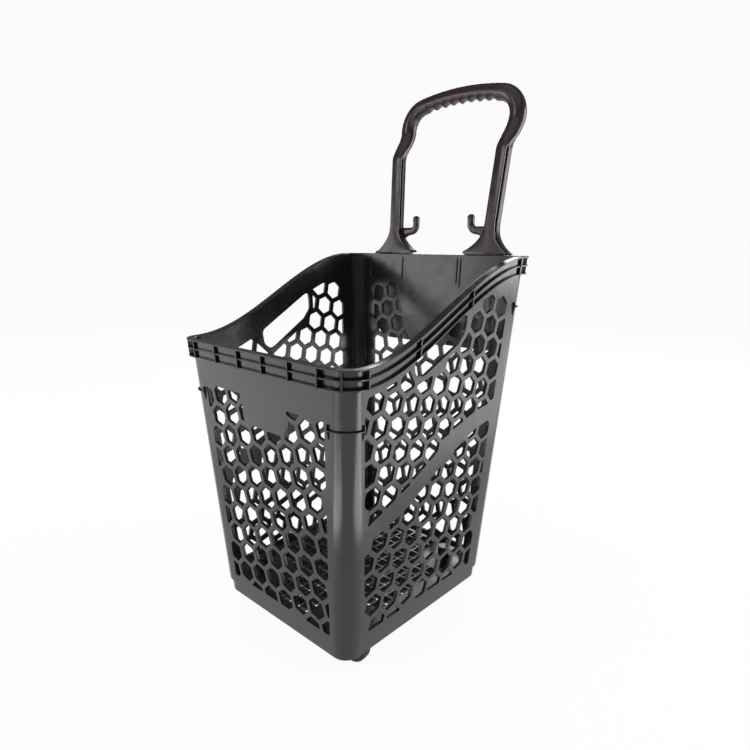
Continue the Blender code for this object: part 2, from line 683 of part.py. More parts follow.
def make_front_caster(side, sx, mats):
    px, py = FRONT_PIVOT
    frame = Matrix.Translation((sx * px, py + CENTRE_Y, 0.0)) @ Matrix.Rotation(SWIVEL, 4, "Z")
    ceiling = BASE_Z + POCKET_TOP
    axle = Matrix.Translation((TRAIL, 0, WHEEL_R)) @ Matrix.Rotation(math.pi / 2, 4, "X")
    make_wheel(f"front_{side}", mats, frame @ axle)
    fork_top = ceiling - SOCKET_LIP - 2 * GAP
    make_fork(f"front_{side}_fork", mats["fork"], frame, fork_top, (0.030, 0.029), STEM_R + GAP)
    low = fork_top - PLATE_H - GAP
    high = BASE_Z + TOWER_TOP - 0.005
    stem = [(0.0, high), (STEM_R - 0.001, high), (STEM_R, high - 0.001), (STEM_R, low), (0.0065, low),
            (0.0060, low - 0.0020), (0.0, low - 0.0020)]
    turned(f"front_{side}_stem", stem, frame, mats["steel"], steps=16)
    bore = STEM_R + GAP
    socket = [(bore, high), (SLEEVE_R, high), (SLEEVE_R, ceiling - GAP), (0.010, ceiling - GAP),
              (0.010, fork_top + GAP), (bore, fork_top + GAP)]
    turned(f"front_{side}_socket", socket, frame, mats["socket"], steps=16, closed=True)


def make_rear_caster(side, sx, mats):
    px, py = REAR_PIVOT
    frame = Matrix.Translation((sx * px, py + CENTRE_Y, 0.0)) @ Matrix.Rotation(math.pi / 2, 4, "Z")
    axle = Matrix.Translation((TRAIL, 0, WHEEL_R)) @ Matrix.Rotation(math.pi / 2, 4, "X")
    make_wheel(f"rear_{side}", mats, frame @ axle)
    fork_top = BASE_Z + POCKET_TOP - GAP
    make_fork(f"rear_{side}_fork", mats["fork"], frame, fork_top, (0.034, 0.032), REAR_SCREW_R + GAP)
    low = fork_top - PLATE_H - GAP
    high = BASE_Z + TOWER_TOP - 0.009
    screw = [(0.0, high), (REAR_SCREW_R, high - 0.002), (REAR_SCREW_R, low), (0.0048, low),
             (0.0044, low - 0.0022), (0.0, low - 0.0022)]
    turned(f"rear_{side}_fork_screw", screw, frame, mats["steel"])


def build():
    start()
    grey = material("basket_grey", (0.085, 0.085, 0.088), 0.42)
    dark = material("handle_black", (0.030, 0.026, 0.026), 0.38)
    mats = {"tyre": material("tyre_rubber", (0.020, 0.020, 0.021), 0.75),
            "hub": material("hub_grey", (0.060, 0.060, 0.062), 0.5),
            "fork": material("fork_black", (0.024, 0.024, 0.025), 0.45),
            "socket": material("socket_plastic", (0.050, 0.050, 0.050), 0.5),
            "steel": material("zinc_steel", (0.55, 0.55, 0.56), 0.35, 1.0)}
    make_side_wall("basket_right_wall", 1, grey, (-0.0422, 0.2308))
    make_side_wall("basket_left_wall", -1, grey, (0.1025, 0.4425))
    make_front_wall(grey)
    make_back_wall(grey)
    make_corner("basket_corner_front_right", 1, -1, STOP_FRONT, grey)
    make_corner("basket_corner_front_left", -1, -1, STOP_FRONT, grey)
    make_corner("basket_corner_back_right", 1, 1, STOP_BACK, grey)
    make_corner("basket_corner_back_left", -1, 1, STOP_BACK, grey)
    make_floor(grey)
    make_handle(dark)
    make_screws(mats["steel"])
    for side, sx in (("left", -1), ("right", 1)):
        make_front_caster(side, sx, mats)
        make_rear_caster(side, sx, mats)


build()
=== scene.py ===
"""Looks of the rolling basket trolley: a honeycomb basket in one piece, its handle, casters and a white studio."""
import json
import math

import bmesh
import bpy
from mathutils import Matrix, Vector, geometry

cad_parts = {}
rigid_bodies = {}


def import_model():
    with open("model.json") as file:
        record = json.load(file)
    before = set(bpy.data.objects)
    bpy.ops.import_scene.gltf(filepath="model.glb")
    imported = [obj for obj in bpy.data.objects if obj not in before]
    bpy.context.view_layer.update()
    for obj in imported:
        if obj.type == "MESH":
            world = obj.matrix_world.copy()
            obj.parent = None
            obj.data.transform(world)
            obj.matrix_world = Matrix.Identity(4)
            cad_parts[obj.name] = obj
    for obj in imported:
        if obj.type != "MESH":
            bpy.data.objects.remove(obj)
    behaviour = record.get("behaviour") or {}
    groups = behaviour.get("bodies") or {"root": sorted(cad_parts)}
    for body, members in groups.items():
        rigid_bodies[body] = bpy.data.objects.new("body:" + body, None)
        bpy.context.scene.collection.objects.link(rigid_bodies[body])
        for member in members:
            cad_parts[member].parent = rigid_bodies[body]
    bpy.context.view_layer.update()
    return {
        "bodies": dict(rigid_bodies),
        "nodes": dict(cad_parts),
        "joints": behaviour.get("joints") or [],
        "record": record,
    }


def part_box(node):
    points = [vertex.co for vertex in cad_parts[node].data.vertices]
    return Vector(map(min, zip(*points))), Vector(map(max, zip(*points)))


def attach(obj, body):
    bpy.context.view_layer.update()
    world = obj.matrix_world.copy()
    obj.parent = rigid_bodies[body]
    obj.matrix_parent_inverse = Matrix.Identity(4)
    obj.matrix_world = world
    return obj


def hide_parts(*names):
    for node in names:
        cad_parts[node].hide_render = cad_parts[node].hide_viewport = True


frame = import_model()

# ---------------------------------------------------------------- basket dimensions, in metres and from its underside
CENTRE_Y = -0.03364
BASE_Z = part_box("basket_floor")[0].z
FRONT_Y, FRONT_TAPER = -0.1893, 0.0562
BACK_Y, BACK_TAPER = 0.1602, 0.0651
HALF_W, SIDE_TAPER = 0.1546, 0.0789
CORNER_R, WALL = 0.029, 0.0050
PLINTH_H, PLINTH_IN, PLINTH_WALL = 0.022, 0.0037, 0.0034
FLOOR_LOW, FLOOR_TOP = 0.0202, 0.034
RIM_FRONT, RIM_RISE, RISE_START, RISE_END = 0.450, 0.129, -0.190, 0.165
RIM_BAND, RIM_OUT, LIP, RIM_SOFT = 0.029, 0.0086, 0.0023, 0.0004
DEPTHS = {"rib": 0.0079, "skirt": 0.0042, "corner": 0.0010, "notch": 0.0004}
RIB_HALF, NOTCH_W = 0.0012, 0.0056
FRONT_RIBS = [-0.1527 + 0.0585 * i for i in range(6)]
SIDE_RIBS = [-0.1825, -0.0828, 0.0318, 0.1590]
FRONT_CORNER_RIB, BACK_CORNER_RIB = math.radians(57.0), math.radians(45.0)
STOP_FRONT, STOP_BACK, STOP_OUT, STOP_T = 0.3645, 0.497, 0.0036, 0.0021
STOP_SHORT, FIN_HALF = 0.007, 0.0008

PITCH, HOLE, CELL_ROUND, SOFT, DRAFT = 0.0388, 0.0300, 0.0009, 0.0005, 0.0007
TILT, FRONT_TILT = math.radians(14.0), math.radians(14.9)
FIELD_REACH, FIELD_HIGH, FIELD_STEPS = 0.24, 0.58, range(-16, 17)
FIELD_LOW, FIELD_TOP, RIM_MARGIN, SLOT_MARGIN, SMALLEST = 0.0400, 0.5213, 0.0140, 0.0090, 0.10

FRONT_PIVOT, REAR_PIVOT = (0.1035, -0.1385), (0.1080, 0.1060)
POCKET_R, POCKET_TOP, TOWER_TOP = 0.044, 0.0305, 0.0575
TOWER_R, REAR_POCKET, REAR_POCKET_BACK = 0.0105, (0.019, 0.021), 0.045
BAR_PITCH, BAR = 0.0200, 0.0032
FLOOR_EDGE, BAR_GAP, REAR_HOUSING, REAR_SHIFT = 0.009, 0.0015, (0.021, 0.036), 0.012
RIDGES, RIDGE_R = ((-0.155, 0.046), (-0.070, 0.050), (0.0590, 0.052), (0.0665, 0.058)), 0.0019
LEDGE_END = 8                       # a slice's points up to this one belong to its inner wall and the rim's top ledge
FILL_INSIDE, FILL_EPSILON = 1, 1e-7

# ---------------------------------------------------------------- handle dimensions
POST_X, POST_Y, POST_Z = 0.1083, 0.2185, 0.5810
POST_SPLAY, POST_LEAN = 0.0605, 0.1180
SECTION_W, SECTION_D, GROOVE = 0.0210, 0.0265, 0.0060
TWIST = math.radians(6.0)
FOOT_W, FOOT_H, FOOT_CURVE = 0.099, 0.056, 2.6
NECK_BLEND, GROOVE_END, GRIP_HALF, GRIP_FADE = (0.004, 0.030), (0.006, 0.012), 0.084, 0.008
NECK_LOW, NECK_HIGH, NECK_BACK = 0.7594, 0.8147, 0.0236
GRIP_TOP, ARCH_RISE, BEND_R = 0.8679, 0.0073, 0.0432
GRIP_R, GRIP_DEEP, SCALLOP, SCALLOP_PITCH = 0.0150, 0.0148, 0.0035, 0.0200
PLATE_T, PLATE_OFF, PLATE_LOW, PLATE_HALF = 0.004, 0.0110, 0.410, 0.154
PLATE_SHOULDER, PLATE_EAR, PLATE_BEVEL, PLATE_DIP = 0.560, 0.160, 0.03, 0.0085
PLATE_RIBS, PLATE_RIB_HALF, PLATE_RIB_DEEP, PAD_R = (-0.132, -0.086, 0.086, 0.132), 0.0012, 0.0045, 0.0075
HOOK_Z, HOOK_REACH, HOOK_BEND = 0.621, 0.0365, 0.012
HOOK_SET_BACK, HOOK_LIFT, HOOK_TOP, HOOK_BULB = 0.0015, 0.0010, 0.0236, 0.0064
HOOK_STEPS, HOOK_SIDES, HOOK_SQUARE = 8, 20, 0.8
SCREWS = [(-POST_X, 0.538), (POST_X, 0.538), (-0.035, 0.455), (0.035, 0.455)]
SCREW_LIFT, SOCKET_POINTS, LOBES, LOBE_DEPTH = 0.0004, (7, 8), 6, 0.12

# ---------------------------------------------------------------- caster dimensions
GAP = 0.0003
WHEEL_R, WHEEL_W, TRAIL, SWIVEL = 0.025, 0.020, 0.016, math.radians(8.0)
HUB_R, BORE_R, SIDE_PLAY, CHEEK, PLATE_H = 0.0192, 0.0033, 0.0010, 0.0025, 0.0045
SPOKES, CHEEK_R, AXLE_PAD_R = 6, 0.0088, 0.0062
FRONT_TOP_PLATE, REAR_TOP_PLATE, SWIVEL_SPACE = (0.030, 0.029), (0.034, 0.032), 0.0030


# ---------------------------------------------------------------- helpers
FACE_WEIGHT = 90


def link(name, bm, mats, smooth_deg=38.0):
    """Make an object of a bmesh, smooth shaded with its sharp edges kept."""
    bmesh.ops.recalc_face_normals(bm, faces=bm.faces)
    for face in bm.faces:
        face.smooth = True
    for edge in bm.edges:
        if len(edge.link_faces) == 2 and edge.calc_face_angle(0.0) > math.radians(smooth_deg):
            edge.smooth = False
    mesh = bpy.data.meshes.new(name)
    bm.to_mesh(mesh)
    bm.free()
    for mat in mats:
        mesh.materials.append(mat)
    obj = bpy.data.objects.new(name, mesh)
    bpy.context.scene.collection.objects.link(obj)
    even = obj.modifiers.new("even_normals", "WEIGHTED_NORMAL")
    even.keep_sharp = True
    even.weight = FACE_WEIGHT
    return obj


def bridge(bm, low, high, closed=True):
    """Quads between two equal rows of vertices."""
    faces = []
    count = len(low)
    for i in range(count if closed else count - 1):
        j = (i + 1) % count
        faces.append(bm.faces.new((low[i], low[j], high[j], high[i])))
    return faces


def sweep(bm, rings):
    """Skin a list of equal closed rings and cap both ends."""
    rows = [[bm.verts.new(p) for p in ring] for ring in rings]
    for low, high in zip(rows, rows[1:]):
        bridge(bm, low, high)
    bm.faces.new(rows[0])
    bm.faces.new(rows[-1])


def smooth(t):
    t = min(max(t, 0.0), 1.0)
    return t * t * (3.0 - 2.0 * t)


# ---------------------------------------------------------------- outlines in a plane
def clip(outline, point, normal):
    """Keep the part of an outline on the normal's side of a line."""
    kept = []
    for i, p in enumerate(outline):
        q = outline[(i + 1) % len(outline)]
        dp = (p[0] - point[0]) * normal[0] + (p[1] - point[1]) * normal[1]
        dq = (q[0] - point[0]) * normal[0] + (q[1] - point[1]) * normal[1]
        if dp >= 0:
            kept.append(p)
        if dp * dq < 0:
            t = dp / (dp - dq)
            kept.append((p[0] + t * (q[0] - p[0]), p[1] + t * (q[1] - p[1])))
    return kept


def line_clip(outline, start, end):
    """Keep what lies to the left of the line from start to end."""
    return clip(outline, start, (start[1] - end[1], end[0] - start[0]))


def area(outline):
    return abs(sum(p[0] * q[1] - q[0] * p[1] for p, q in zip(outline, outline[1:] + outline[:1]))) / 2


def inside(outline, p):
    hit = False
    for a, b in zip(outline, outline[1:] + outline[:1]):
        if (a[1] > p[1]) != (b[1] > p[1]):
            if p[0] < a[0] + (p[1] - a[1]) / (b[1] - a[1]) * (b[0] - a[0]):
                hit = not hit
    return hit


def clear_of(outline, centre, island, margin):
    """Trim a cell along the border of a solid island, by a straight cut at the border's nearest point."""
    centre = Vector(centre)
    best = None
    for a, b in zip(island, island[1:] + island[:1]):
        a, b = Vector(a), Vector(b)
        t = min(max((centre - a).dot(b - a) / (b - a).length_squared, 0.0), 1.0)
        foot = a + (b - a) * t
        if best is None or (centre - foot).length < best[0]:
            best = ((centre - foot).length, foot)
    distance, foot = best
    away = (centre - foot).normalized()
    if inside(island, centre):
        away = -away
    elif distance > HOLE / math.sqrt(3.0) + margin:
        return outline
    return clip(outline, foot + away * margin, away)


def rounded(outline, radius, steps=3):
    """The outline with its corners as arcs, smaller ones where an edge is short."""
    points = []
    count = len(outline)
    for i in range(count):
        p = Vector(outline[i])
        back, ahead = Vector(outline[i - 1]) - p, Vector(outline[(i + 1) % count]) - p
        half = back.angle(ahead) / 2
        reach = min(radius / math.tan(half), 0.45 * back.length, 0.45 * ahead.length)
        for k in range(steps):
            t = k / (steps - 1)
            a = p + back.normalized() * reach
            b = p + ahead.normalized() * reach
            points.append(tuple(a.lerp(p, t).lerp(p.lerp(b, t), t)))
    return points


def tidy(outline, shortest=0.0006):
    """The outline without points that lie almost on each other."""
    kept = [p for p, q in zip(outline, outline[1:] + outline[:1]) if (Vector(p) - Vector(q)).length > shortest]
    return kept if len(kept) > 2 else []


def circle(x, y, radius, count):
    return [(x + radius * math.cos(2 * math.pi * k / count), y + radius * math.sin(2 * math.pi * k / count))
            for k in range(count)]


def mirrored(profile):
    """A (radius, height) profile closed by its mirror image below height 0."""
    return profile + [(r, -z) for r, z in reversed(profile)]


def grown(outline, by):
    """The outline moved outwards by a distance."""
    turn = sum(p[0] * q[1] - q[0] * p[1] for p, q in zip(outline, outline[1:] + outline[:1]))
    sign = 1.0 if turn > 0 else -1.0
    moved = []
    for i, p in enumerate(outline):
        a = (Vector(p) - Vector(outline[i - 1])).normalized()
        b = (Vector(outline[(i + 1) % len(outline)]) - Vector(p)).normalized()
        normal = Vector((a.y + b.y, -a.x - b.x)).normalized() * sign
        moved.append((p[0] + normal.x * by, p[1] + normal.y * by))
    return moved


def fill(bm, border, loops):
    """Fill a flat region between a border and the loops inside it; each is a list of (vertex, a, b)."""
    verts = [v for loop in [border] + loops for v, a, b in loop]
    coords = [Vector((a, b)) for loop in [border] + loops for v, a, b in loop]
    rings = []
    at = 0
    for loop in [border] + loops:
        rings.append(list(range(at, at + len(loop))))
        at += len(loop)
    result = geometry.delaunay_2d_cdt(coords, [], rings, FILL_INSIDE, FILL_EPSILON)
    faces, from_verts, from_faces = result[2], result[3], result[5]
    for face, source in zip(faces, from_faces):
        if source == [0]:
            corners = [verts[from_verts[i][0]] for i in face]
            if len(set(corners)) == 3 and not bm.faces.get(corners):
                bm.faces.new(corners)


# ---------------------------------------------------------------- the basket's surface
def rim_height(y):
    return RIM_FRONT + RIM_RISE * smooth((y - RISE_START) / (RISE_END - RISE_START))


def half_width(h):
    return HALF_W + SIDE_TAPER * h


def front_y(h):
    return FRONT_Y - FRONT_TAPER * h


def back_y(h):
    return BACK_Y + BACK_TAPER * h


def world(x, y, h):
    """A basket point: y before centring and h above the basket's underside."""
    return Vector((x, y + CENTRE_Y, h + BASE_Z))


def corner_place(sx, sy, angle):
    """A place round a corner; angle 0 faces the side wall and 90 degrees the front or back wall."""
    def place(out, h):
        cx = half_width(h) - CORNER_R
        cy = (back_y(h) - CORNER_R) if sy > 0 else (front_y(h) + CORNER_R)
        r = CORNER_R + out
        return sx * (cx + r * math.cos(angle)), cy + sy * r * math.sin(angle)
    return place


def span(wall, h):
    """Where a wall's flat part starts and ends, along x or y."""
    if wall in ("front", "back"):
        reach = half_width(h) - CORNER_R
        return -reach, reach
    return front_y(h) + CORNER_R, back_y(h) - CORNER_R


def on_wall(wall, a, out, h):
    if wall == "front":
        return a, front_y(h) - out
    if wall == "back":
        return a, back_y(h) + out
    x = half_width(h) + out
    return (x if wall == "right" else -x), a


def wall_place(wall, share):
    def place(out, h):
        low, high = span(wall, h)
        return on_wall(wall, low + share * (high - low), out, h)
    return place


def rim_zones(wall):
    """Stretches of a wall's rim, as (where it starts, what it is): ribs, the notch by each, the skirt between."""
    ribs, side = (FRONT_RIBS, 1) if wall in ("front", "back") else (SIDE_RIBS, -1)
    zones = [(-1.0, "corner")]
    for rib in ribs:
        if side > 0:
            zones += [(rib - RIB_HALF, "rib"), (rib + RIB_HALF, "notch"), (rib + RIB_HALF + NOTCH_W, "skirt")]
        else:
            zones += [(rib - RIB_HALF - NOTCH_W, "notch"), (rib - RIB_HALF, "rib"), (rib + RIB_HALF, "skirt")]
    zones[-1] = (zones[-1][0], "corner")
    return zones


MARK_SPAN, DIVIDE_SPAN = 0.35, 0.34     # rough lengths of a wall, which turn a distance along it into a share
LONGEST_STEP, EDGE_STEP, FIRST_SHARE = 0.011, 0.00012, 0.002


def wall_stations(wall):
    """(place, kind of rim) along a wall, close together where the rim's depth changes."""
    def share(a):
        if wall in ("left", "right"):
            level = rim_height(a)
        else:
            level = RIM_FRONT if wall == "front" else RIM_FRONT + RIM_RISE
        low, high = span(wall, level - RIM_BAND / 2)
        return (a - low) / (high - low)
    marks = [(0.0, None)]
    zones = rim_zones(wall)
    kind = "corner"
    for start, after in zones:
        at = share(start)
        if at > FIRST_SHARE:
            marks += [(at - EDGE_STEP / MARK_SPAN, kind), (at + EDGE_STEP / MARK_SPAN, after)]
        kind = after
    first = next(z[1] for z in reversed(zones) if share(z[0]) <= FIRST_SHARE)
    marks[0] = (0.0, first)
    marks.append((1.0, kind))
    full = []
    for (s, k), (s2, _) in zip(marks, marks[1:]):
        full.append((s, k))
        extra = int((s2 - s) * DIVIDE_SPAN / LONGEST_STEP)
        full += [(s + (s2 - s) * (i + 1) / (extra + 1), k) for i in range(extra)]
    full.append(marks[-1])
    stations = [(wall_place(wall, s), k) for s, k in full]
    return stations[::-1] if wall in ("back", "left") else stations


CORNER_STEPS, RIB_CLEAR, RIB_FLANK = 14, 0.02, 0.004      # the last two are angles


def corner_stations(sx, sy, flip):
    """(place, kind of rim) round a corner, without its two ends; one rib stands on it."""
    rib = RIB_HALF / (CORNER_R + RIM_OUT)
    middle = FRONT_CORNER_RIB if sy < 0 else BACK_CORNER_RIB
    angles = [(math.pi / 2 * i / CORNER_STEPS, "corner") for i in range(1, CORNER_STEPS)]
    angles = [(a, k) for a, k in angles if abs(a - middle) > rib + RIB_CLEAR]
    angles += [(middle - rib - RIB_FLANK, "corner"), (middle - rib, "rib"), (middle + rib, "rib"),
               (middle + rib + RIB_FLANK, "corner")]
    angles.sort()
    stations = [(corner_place(sx, sy, a), k) for a, k in angles]
    return stations[::-1] if flip else stations


def upright(place, kind):
    """One slice of the basket from the floor's inner edge, up, over the rim and down to the plinth's inside.

    Returns the points and the index of the outer wall's top point."""
    deep, soft = DEPTHS[kind], RIM_SOFT
    y = place(0.0, RIM_FRONT)[1]
    top = rim_height(y)
    half = RIM_BAND / 2
    rows = [(-WALL, FLOOR_TOP), (-WALL, top - 0.0016), (-WALL + 0.0005, top - 0.0005), (-WALL + 0.0016, top)]
    for level in (top, top - half + LIP / 2, top - RIM_BAND + LIP):
        rows += [(RIM_OUT - soft, level), (RIM_OUT, level - soft), (RIM_OUT, level - LIP + soft),
                 (RIM_OUT - soft, level - LIP)]
        if level > top - RIM_BAND + LIP:
            rows += [(deep + soft, level - LIP), (deep, level - LIP - soft),
                     (deep, level - half + LIP / 2 + soft), (deep + soft, level - half + LIP / 2)]
    outer_top = len(rows) + 1
    rows += [(0.0014, top - RIM_BAND), (0.0, top - RIM_BAND - 0.0012)]
    inner = -PLINTH_IN - PLINTH_WALL
    rows += [(0.0, PLINTH_H + 0.0006), (-0.0006, PLINTH_H), (-PLINTH_IN, PLINTH_H - 0.0004),
             (-PLINTH_IN, 0.0010), (-PLINTH_IN - 0.0010, 0.0), (inner + 0.0010, 0.0), (inner, 0.0010),
             (inner, FLOOR_LOW)]
    return [world(*place(out, h), h) for out, h in rows], outer_top


# ---------------------------------------------------------------- honeycomb fields
def slot_outline(wall):
    """The hand slot under a side rim, in y and height; the right one sits a little further forward."""
    if wall == "right":
        corners = [(-0.0850, 0.4440), (-0.0815, 0.4240), (-0.0693, 0.4165), (-0.0580, 0.4198), (0.0137, 0.4535),
                   (0.0290, 0.4700), (0.0335, 0.5000)]
    else:
        corners = [(-0.0640, 0.4440), (-0.0612, 0.4192), (-0.0480, 0.4100), (-0.0360, 0.4142), (0.0372, 0.4575),
                   (0.0520, 0.4740), (0.0533, 0.5098)]
    return rounded(corners, 0.012, 4)


def label_outline():
    """The plain area in the middle of the front wall, left free for a shop's sign."""
    return rounded([(-0.0500, 0.450), (-0.0430, 0.3325), (0.0570, 0.3310), (0.0630, 0.450)], 0.016, 5)


def shield_outline():
    """The plain middle of the back wall, narrower towards its lower end."""
    return rounded([(-0.1010, 0.560), (-0.0430, 0.4125), (0.0430, 0.4125), (0.1010, 0.560)], 0.012, 4)


BAND_TOP = [(-0.175, 0.212), (-0.149, 0.2229), (-0.083, 0.2507), (-0.021, 0.2850), (0.035, 0.3202),
            (0.080, 0.3345), (0.150, 0.3440)]
BAND_LOW = [(0.150, 0.3125), (0.125, 0.3086), (0.082, 0.2988), (0.031, 0.2776), (-0.008, 0.2563),
            (-0.044, 0.2349), (-0.094, 0.2092), (-0.160, 0.1895), (-0.175, 0.1850)]


SIDE_LINES = [((-0.1786, 0.3860), (-0.1547, 0.0536)), ((0.1135, 0.0536), (0.1440, 0.5100))]
FRONT_LINES = [((-0.1390, 0.3640), (-0.1155, 0.0430)), ((0.1227, 0.0430), (0.1396, 0.3640))]
BACK_LINES = [((-0.1420, 0.5000), (-0.1170, 0.0536)), ((0.1170, 0.0536), (0.1420, 0.5000))]
FRONT_TOPS, BACK_TOP = (0.3785, 0.3728), 0.5240         # the front field ends lower on its right half


def between(outline, top, lines):
    """Keep what lies between the field's foot, its top level and its two side lines."""
    outline = clip(outline, (0.0, top), (0.0, -1.0))
    outline = clip(outline, (0.0, FIELD_LOW), (0.0, 1.0))
    for start, end in lines:
        outline = line_clip(outline, start, end)
    return outline


def side_border(outline, centre):
    y = centre[0]
    top = rim_height(y) - RIM_BAND - RIM_MARGIN
    slope = (rim_height(y + 0.01) - rim_height(y - 0.01)) / 0.02
    outline = clip(outline, (y, top), (slope, -1.0))
    return between(outline, FIELD_TOP, SIDE_LINES)


def front_border(outline, centre):
    return between(outline, FRONT_TOPS[0] if centre[0] < 0 else FRONT_TOPS[1], FRONT_LINES)


def back_border(outline, _centre):
    return between(outline, BACK_TOP, BACK_LINES)


def cells(origin, tilt, border, islands):
    """Outlines of the honeycomb's cells, trimmed by the field's border and by the plain areas in it."""
    found = []
    corner = HOLE / math.sqrt(3.0)
    for i in FIELD_STEPS:
        for j in FIELD_STEPS:
            a = origin[0] + PITCH * (i * math.cos(tilt) + j * math.cos(tilt + math.pi / 3))
            h = origin[1] + PITCH * (i * math.sin(tilt) + j * math.sin(tilt + math.pi / 3))
            if abs(a) > FIELD_REACH or not 0.0 < h < FIELD_HIGH:
                continue
            hexagon = [(a + corner * math.cos(tilt + math.pi / 6 + k * math.pi / 3),
                        h + corner * math.sin(tilt + math.pi / 6 + k * math.pi / 3)) for k in range(6)]
            left = border(hexagon, (a, h))
            for island, margin in islands:
                if left:
                    left = clear_of(left, (a, h), island, margin)
            left = tidy(left)
            if left and area(left) > SMALLEST * area(hexagon):
                found.append(rounded(left, CELL_ROUND))
    return found


def wall_holes(wall):
    band = BAND_TOP + BAND_LOW
    slot = slot_outline(wall)
    if wall == "right":
        return cells((-0.0422, 0.2308), -TILT, side_border, [(band, 0.0), (slot, SLOT_MARGIN)]) + [slot]
    if wall == "left":
        return cells((0.1025, 0.4408), -TILT, side_border, [(band, 0.0), (slot, SLOT_MARGIN)]) + [slot]
    if wall == "front":
        return cells((-0.0297, 0.2478), FRONT_TILT, front_border, [(label_outline(), 0.0)])
    return cells((-0.1033, 0.4723), TILT, back_border, [(shield_outline(), 0.0)])


# ---------------------------------------------------------------- building the basket
def pierce(bm, outline, place, layers):
    """The sides of a hole through a wall; layers are (growth, depth). Returns its first and last rings."""
    rows = []
    for growth, depth in layers:
        shape = grown(outline, growth) if growth else outline
        rows.append([(bm.verts.new(place(a, b, depth)), a, b) for a, b in shape])
    for low, high in zip(rows, rows[1:]):
        bridge(bm, [v for v, a, b in low], [v for v, a, b in high])
    return rows[0], rows[-1]


def build_wall_panel(bm, wall, columns, outer_top):
    """Both skins of a wall with its holes, between the slices at its two ends."""
    axis = 0 if wall in ("front", "back") else 1

    def flat(vertex):
        a = vertex.co.x if axis == 0 else vertex.co.y - CENTRE_Y
        return vertex, a, vertex.co.z - BASE_Z

    layers = [(DRAFT + SOFT, 0.0), (DRAFT + 0.15 * SOFT, -0.35 * SOFT), (DRAFT, -SOFT), (0.0, -WALL + SOFT),
              (0.15 * SOFT, -WALL + 0.35 * SOFT), (SOFT, -WALL)]
    rims = [pierce(bm, hole, lambda a, h, out: world(*on_wall(wall, a, out, h), h), layers)
            for hole in wall_holes(wall)]
    for low, high, loops in ((outer_top + 1, outer_top, [r[0] for r in rims]), (0, 1, [r[1] for r in rims])):
        border = [flat(c[low]) for c in columns] + [flat(c[high]) for c in reversed(columns)]
        fill(bm, border, loops)


def floor_cells():
    """Square openings between the floor's ribs, clear of the caster housings."""
    shapes = []
    half = (BAR_PITCH - BAR) / 2
    for i in range(-7, 8):
        for j in range(-9, 9):
            x, y = i * BAR_PITCH, (FRONT_Y + BACK_Y) / 2 + (j + 0.5) * BAR_PITCH
            px, py = abs(x) - FRONT_PIVOT[0], y - FRONT_PIVOT[1]
            near = math.hypot(max(abs(px) - half, 0), max(abs(py) - half, 0))
            rear = max(abs(abs(x) - REAR_PIVOT[0]) - half - REAR_HOUSING[0],
                       abs(y - REAR_PIVOT[1] - REAR_SHIFT) - half - REAR_HOUSING[1])
            within = (abs(x) < HALF_W - half - FLOOR_EDGE
                      and FRONT_Y + half + FLOOR_EDGE < y < BACK_Y - half - FLOOR_EDGE)
            if near > POCKET_R + BAR_GAP and rear > 0 and within:
                square = [(x - half, y - half), (x + half, y - half), (x + half, y + half), (x - half, y + half)]
                shapes.append(rounded(square, 0.0018))
    return shapes


def build_floor(bm, columns):
    """The ribbed floor, the caster housings on it and the pockets under it."""
    def plan(vertex):
        return vertex, vertex.co.x, vertex.co.y - CENTRE_Y

    def at(a, b, level):
        return world(a, b, level)

    layers = [(SOFT, FLOOR_TOP), (0.0, FLOOR_TOP - SOFT), (0.0, FLOOR_LOW + SOFT), (SOFT, FLOOR_LOW)]
    rims = [pierce(bm, shape, at, layers) for shape in floor_cells()]
    top_loops, low_loops = [r[0] for r in rims], [r[1] for r in rims]
    for sx in (-1, 1):
        for number, (px, py) in enumerate((FRONT_PIVOT, REAR_PIVOT)):
            tower = [(0.0022, FLOOR_TOP), (0.0007, FLOOR_TOP + 0.0007), (0.0, FLOOR_TOP + 0.0022),
                     (-0.0004, TOWER_TOP - 0.0012), (-0.0014, TOWER_TOP)]
            foot, cap = pierce(bm, circle(sx * px, py, TOWER_R, 32), at, tower)
            bm.faces.new([v for v, a, b in cap])
            top_loops.append(foot)
            if number == 0:
                pocket = circle(sx * px, py, POCKET_R, 48)
            else:
                x0, x1 = sx * px - REAR_POCKET[0], sx * px + REAR_POCKET[0]
                y0, y1 = py - REAR_POCKET[1], py + REAR_POCKET_BACK
                pocket = rounded([(x0, y0), (x1, y0), (x1, y1), (x0, y1)], 0.003)
            mouth, ceiling = pierce(bm, pocket, at, [(0.0, FLOOR_LOW), (0.0, POCKET_TOP)])
            bm.faces.new([v for v, a, b in ceiling])
            low_loops.append(mouth)
    fill(bm, [plan(c[0]) for c in columns], top_loops)
    fill(bm, [plan(c[-1]) for c in columns], low_loops)


def build_stops(bm):
    """The ledge round each corner on which the next basket's rim rests when nested, with its fins."""
    for sx in (-1, 1):
        for sy, level in ((-1, STOP_FRONT), (1, STOP_BACK)):
            wall = "front" if sy < 0 else "back"
            side = "right" if sx > 0 else "left"
            low, high = span(wall, level)
            end_a = (high if sx > 0 else low) - sx * STOP_SHORT
            low, high = span(side, level)
            side_a = low if sy < 0 else high
            places = [lambda out, h: on_wall(wall, end_a, out, h)]
            places += [corner_place(sx, sy, math.pi / 2 * (1 - i / CORNER_STEPS))
                       for i in range(CORNER_STEPS + 1)]
            places += [lambda out, h: on_wall(side, side_a, out, h)]
            shape = [(-0.0008, -1.0), (STOP_OUT - 0.0006, -1.0), (STOP_OUT, -0.5), (STOP_OUT, 0.5),
                     (STOP_OUT - 0.0006, 1.0), (-0.0008, 1.0)]
            sweep(bm, [[world(*p(out, level + t * STOP_T / 2), level + t * STOP_T / 2) for out, t in shape]
                       for p in places])
            for place_at in (places[0], places[-1]):
                build_fin(bm, place_at, level)


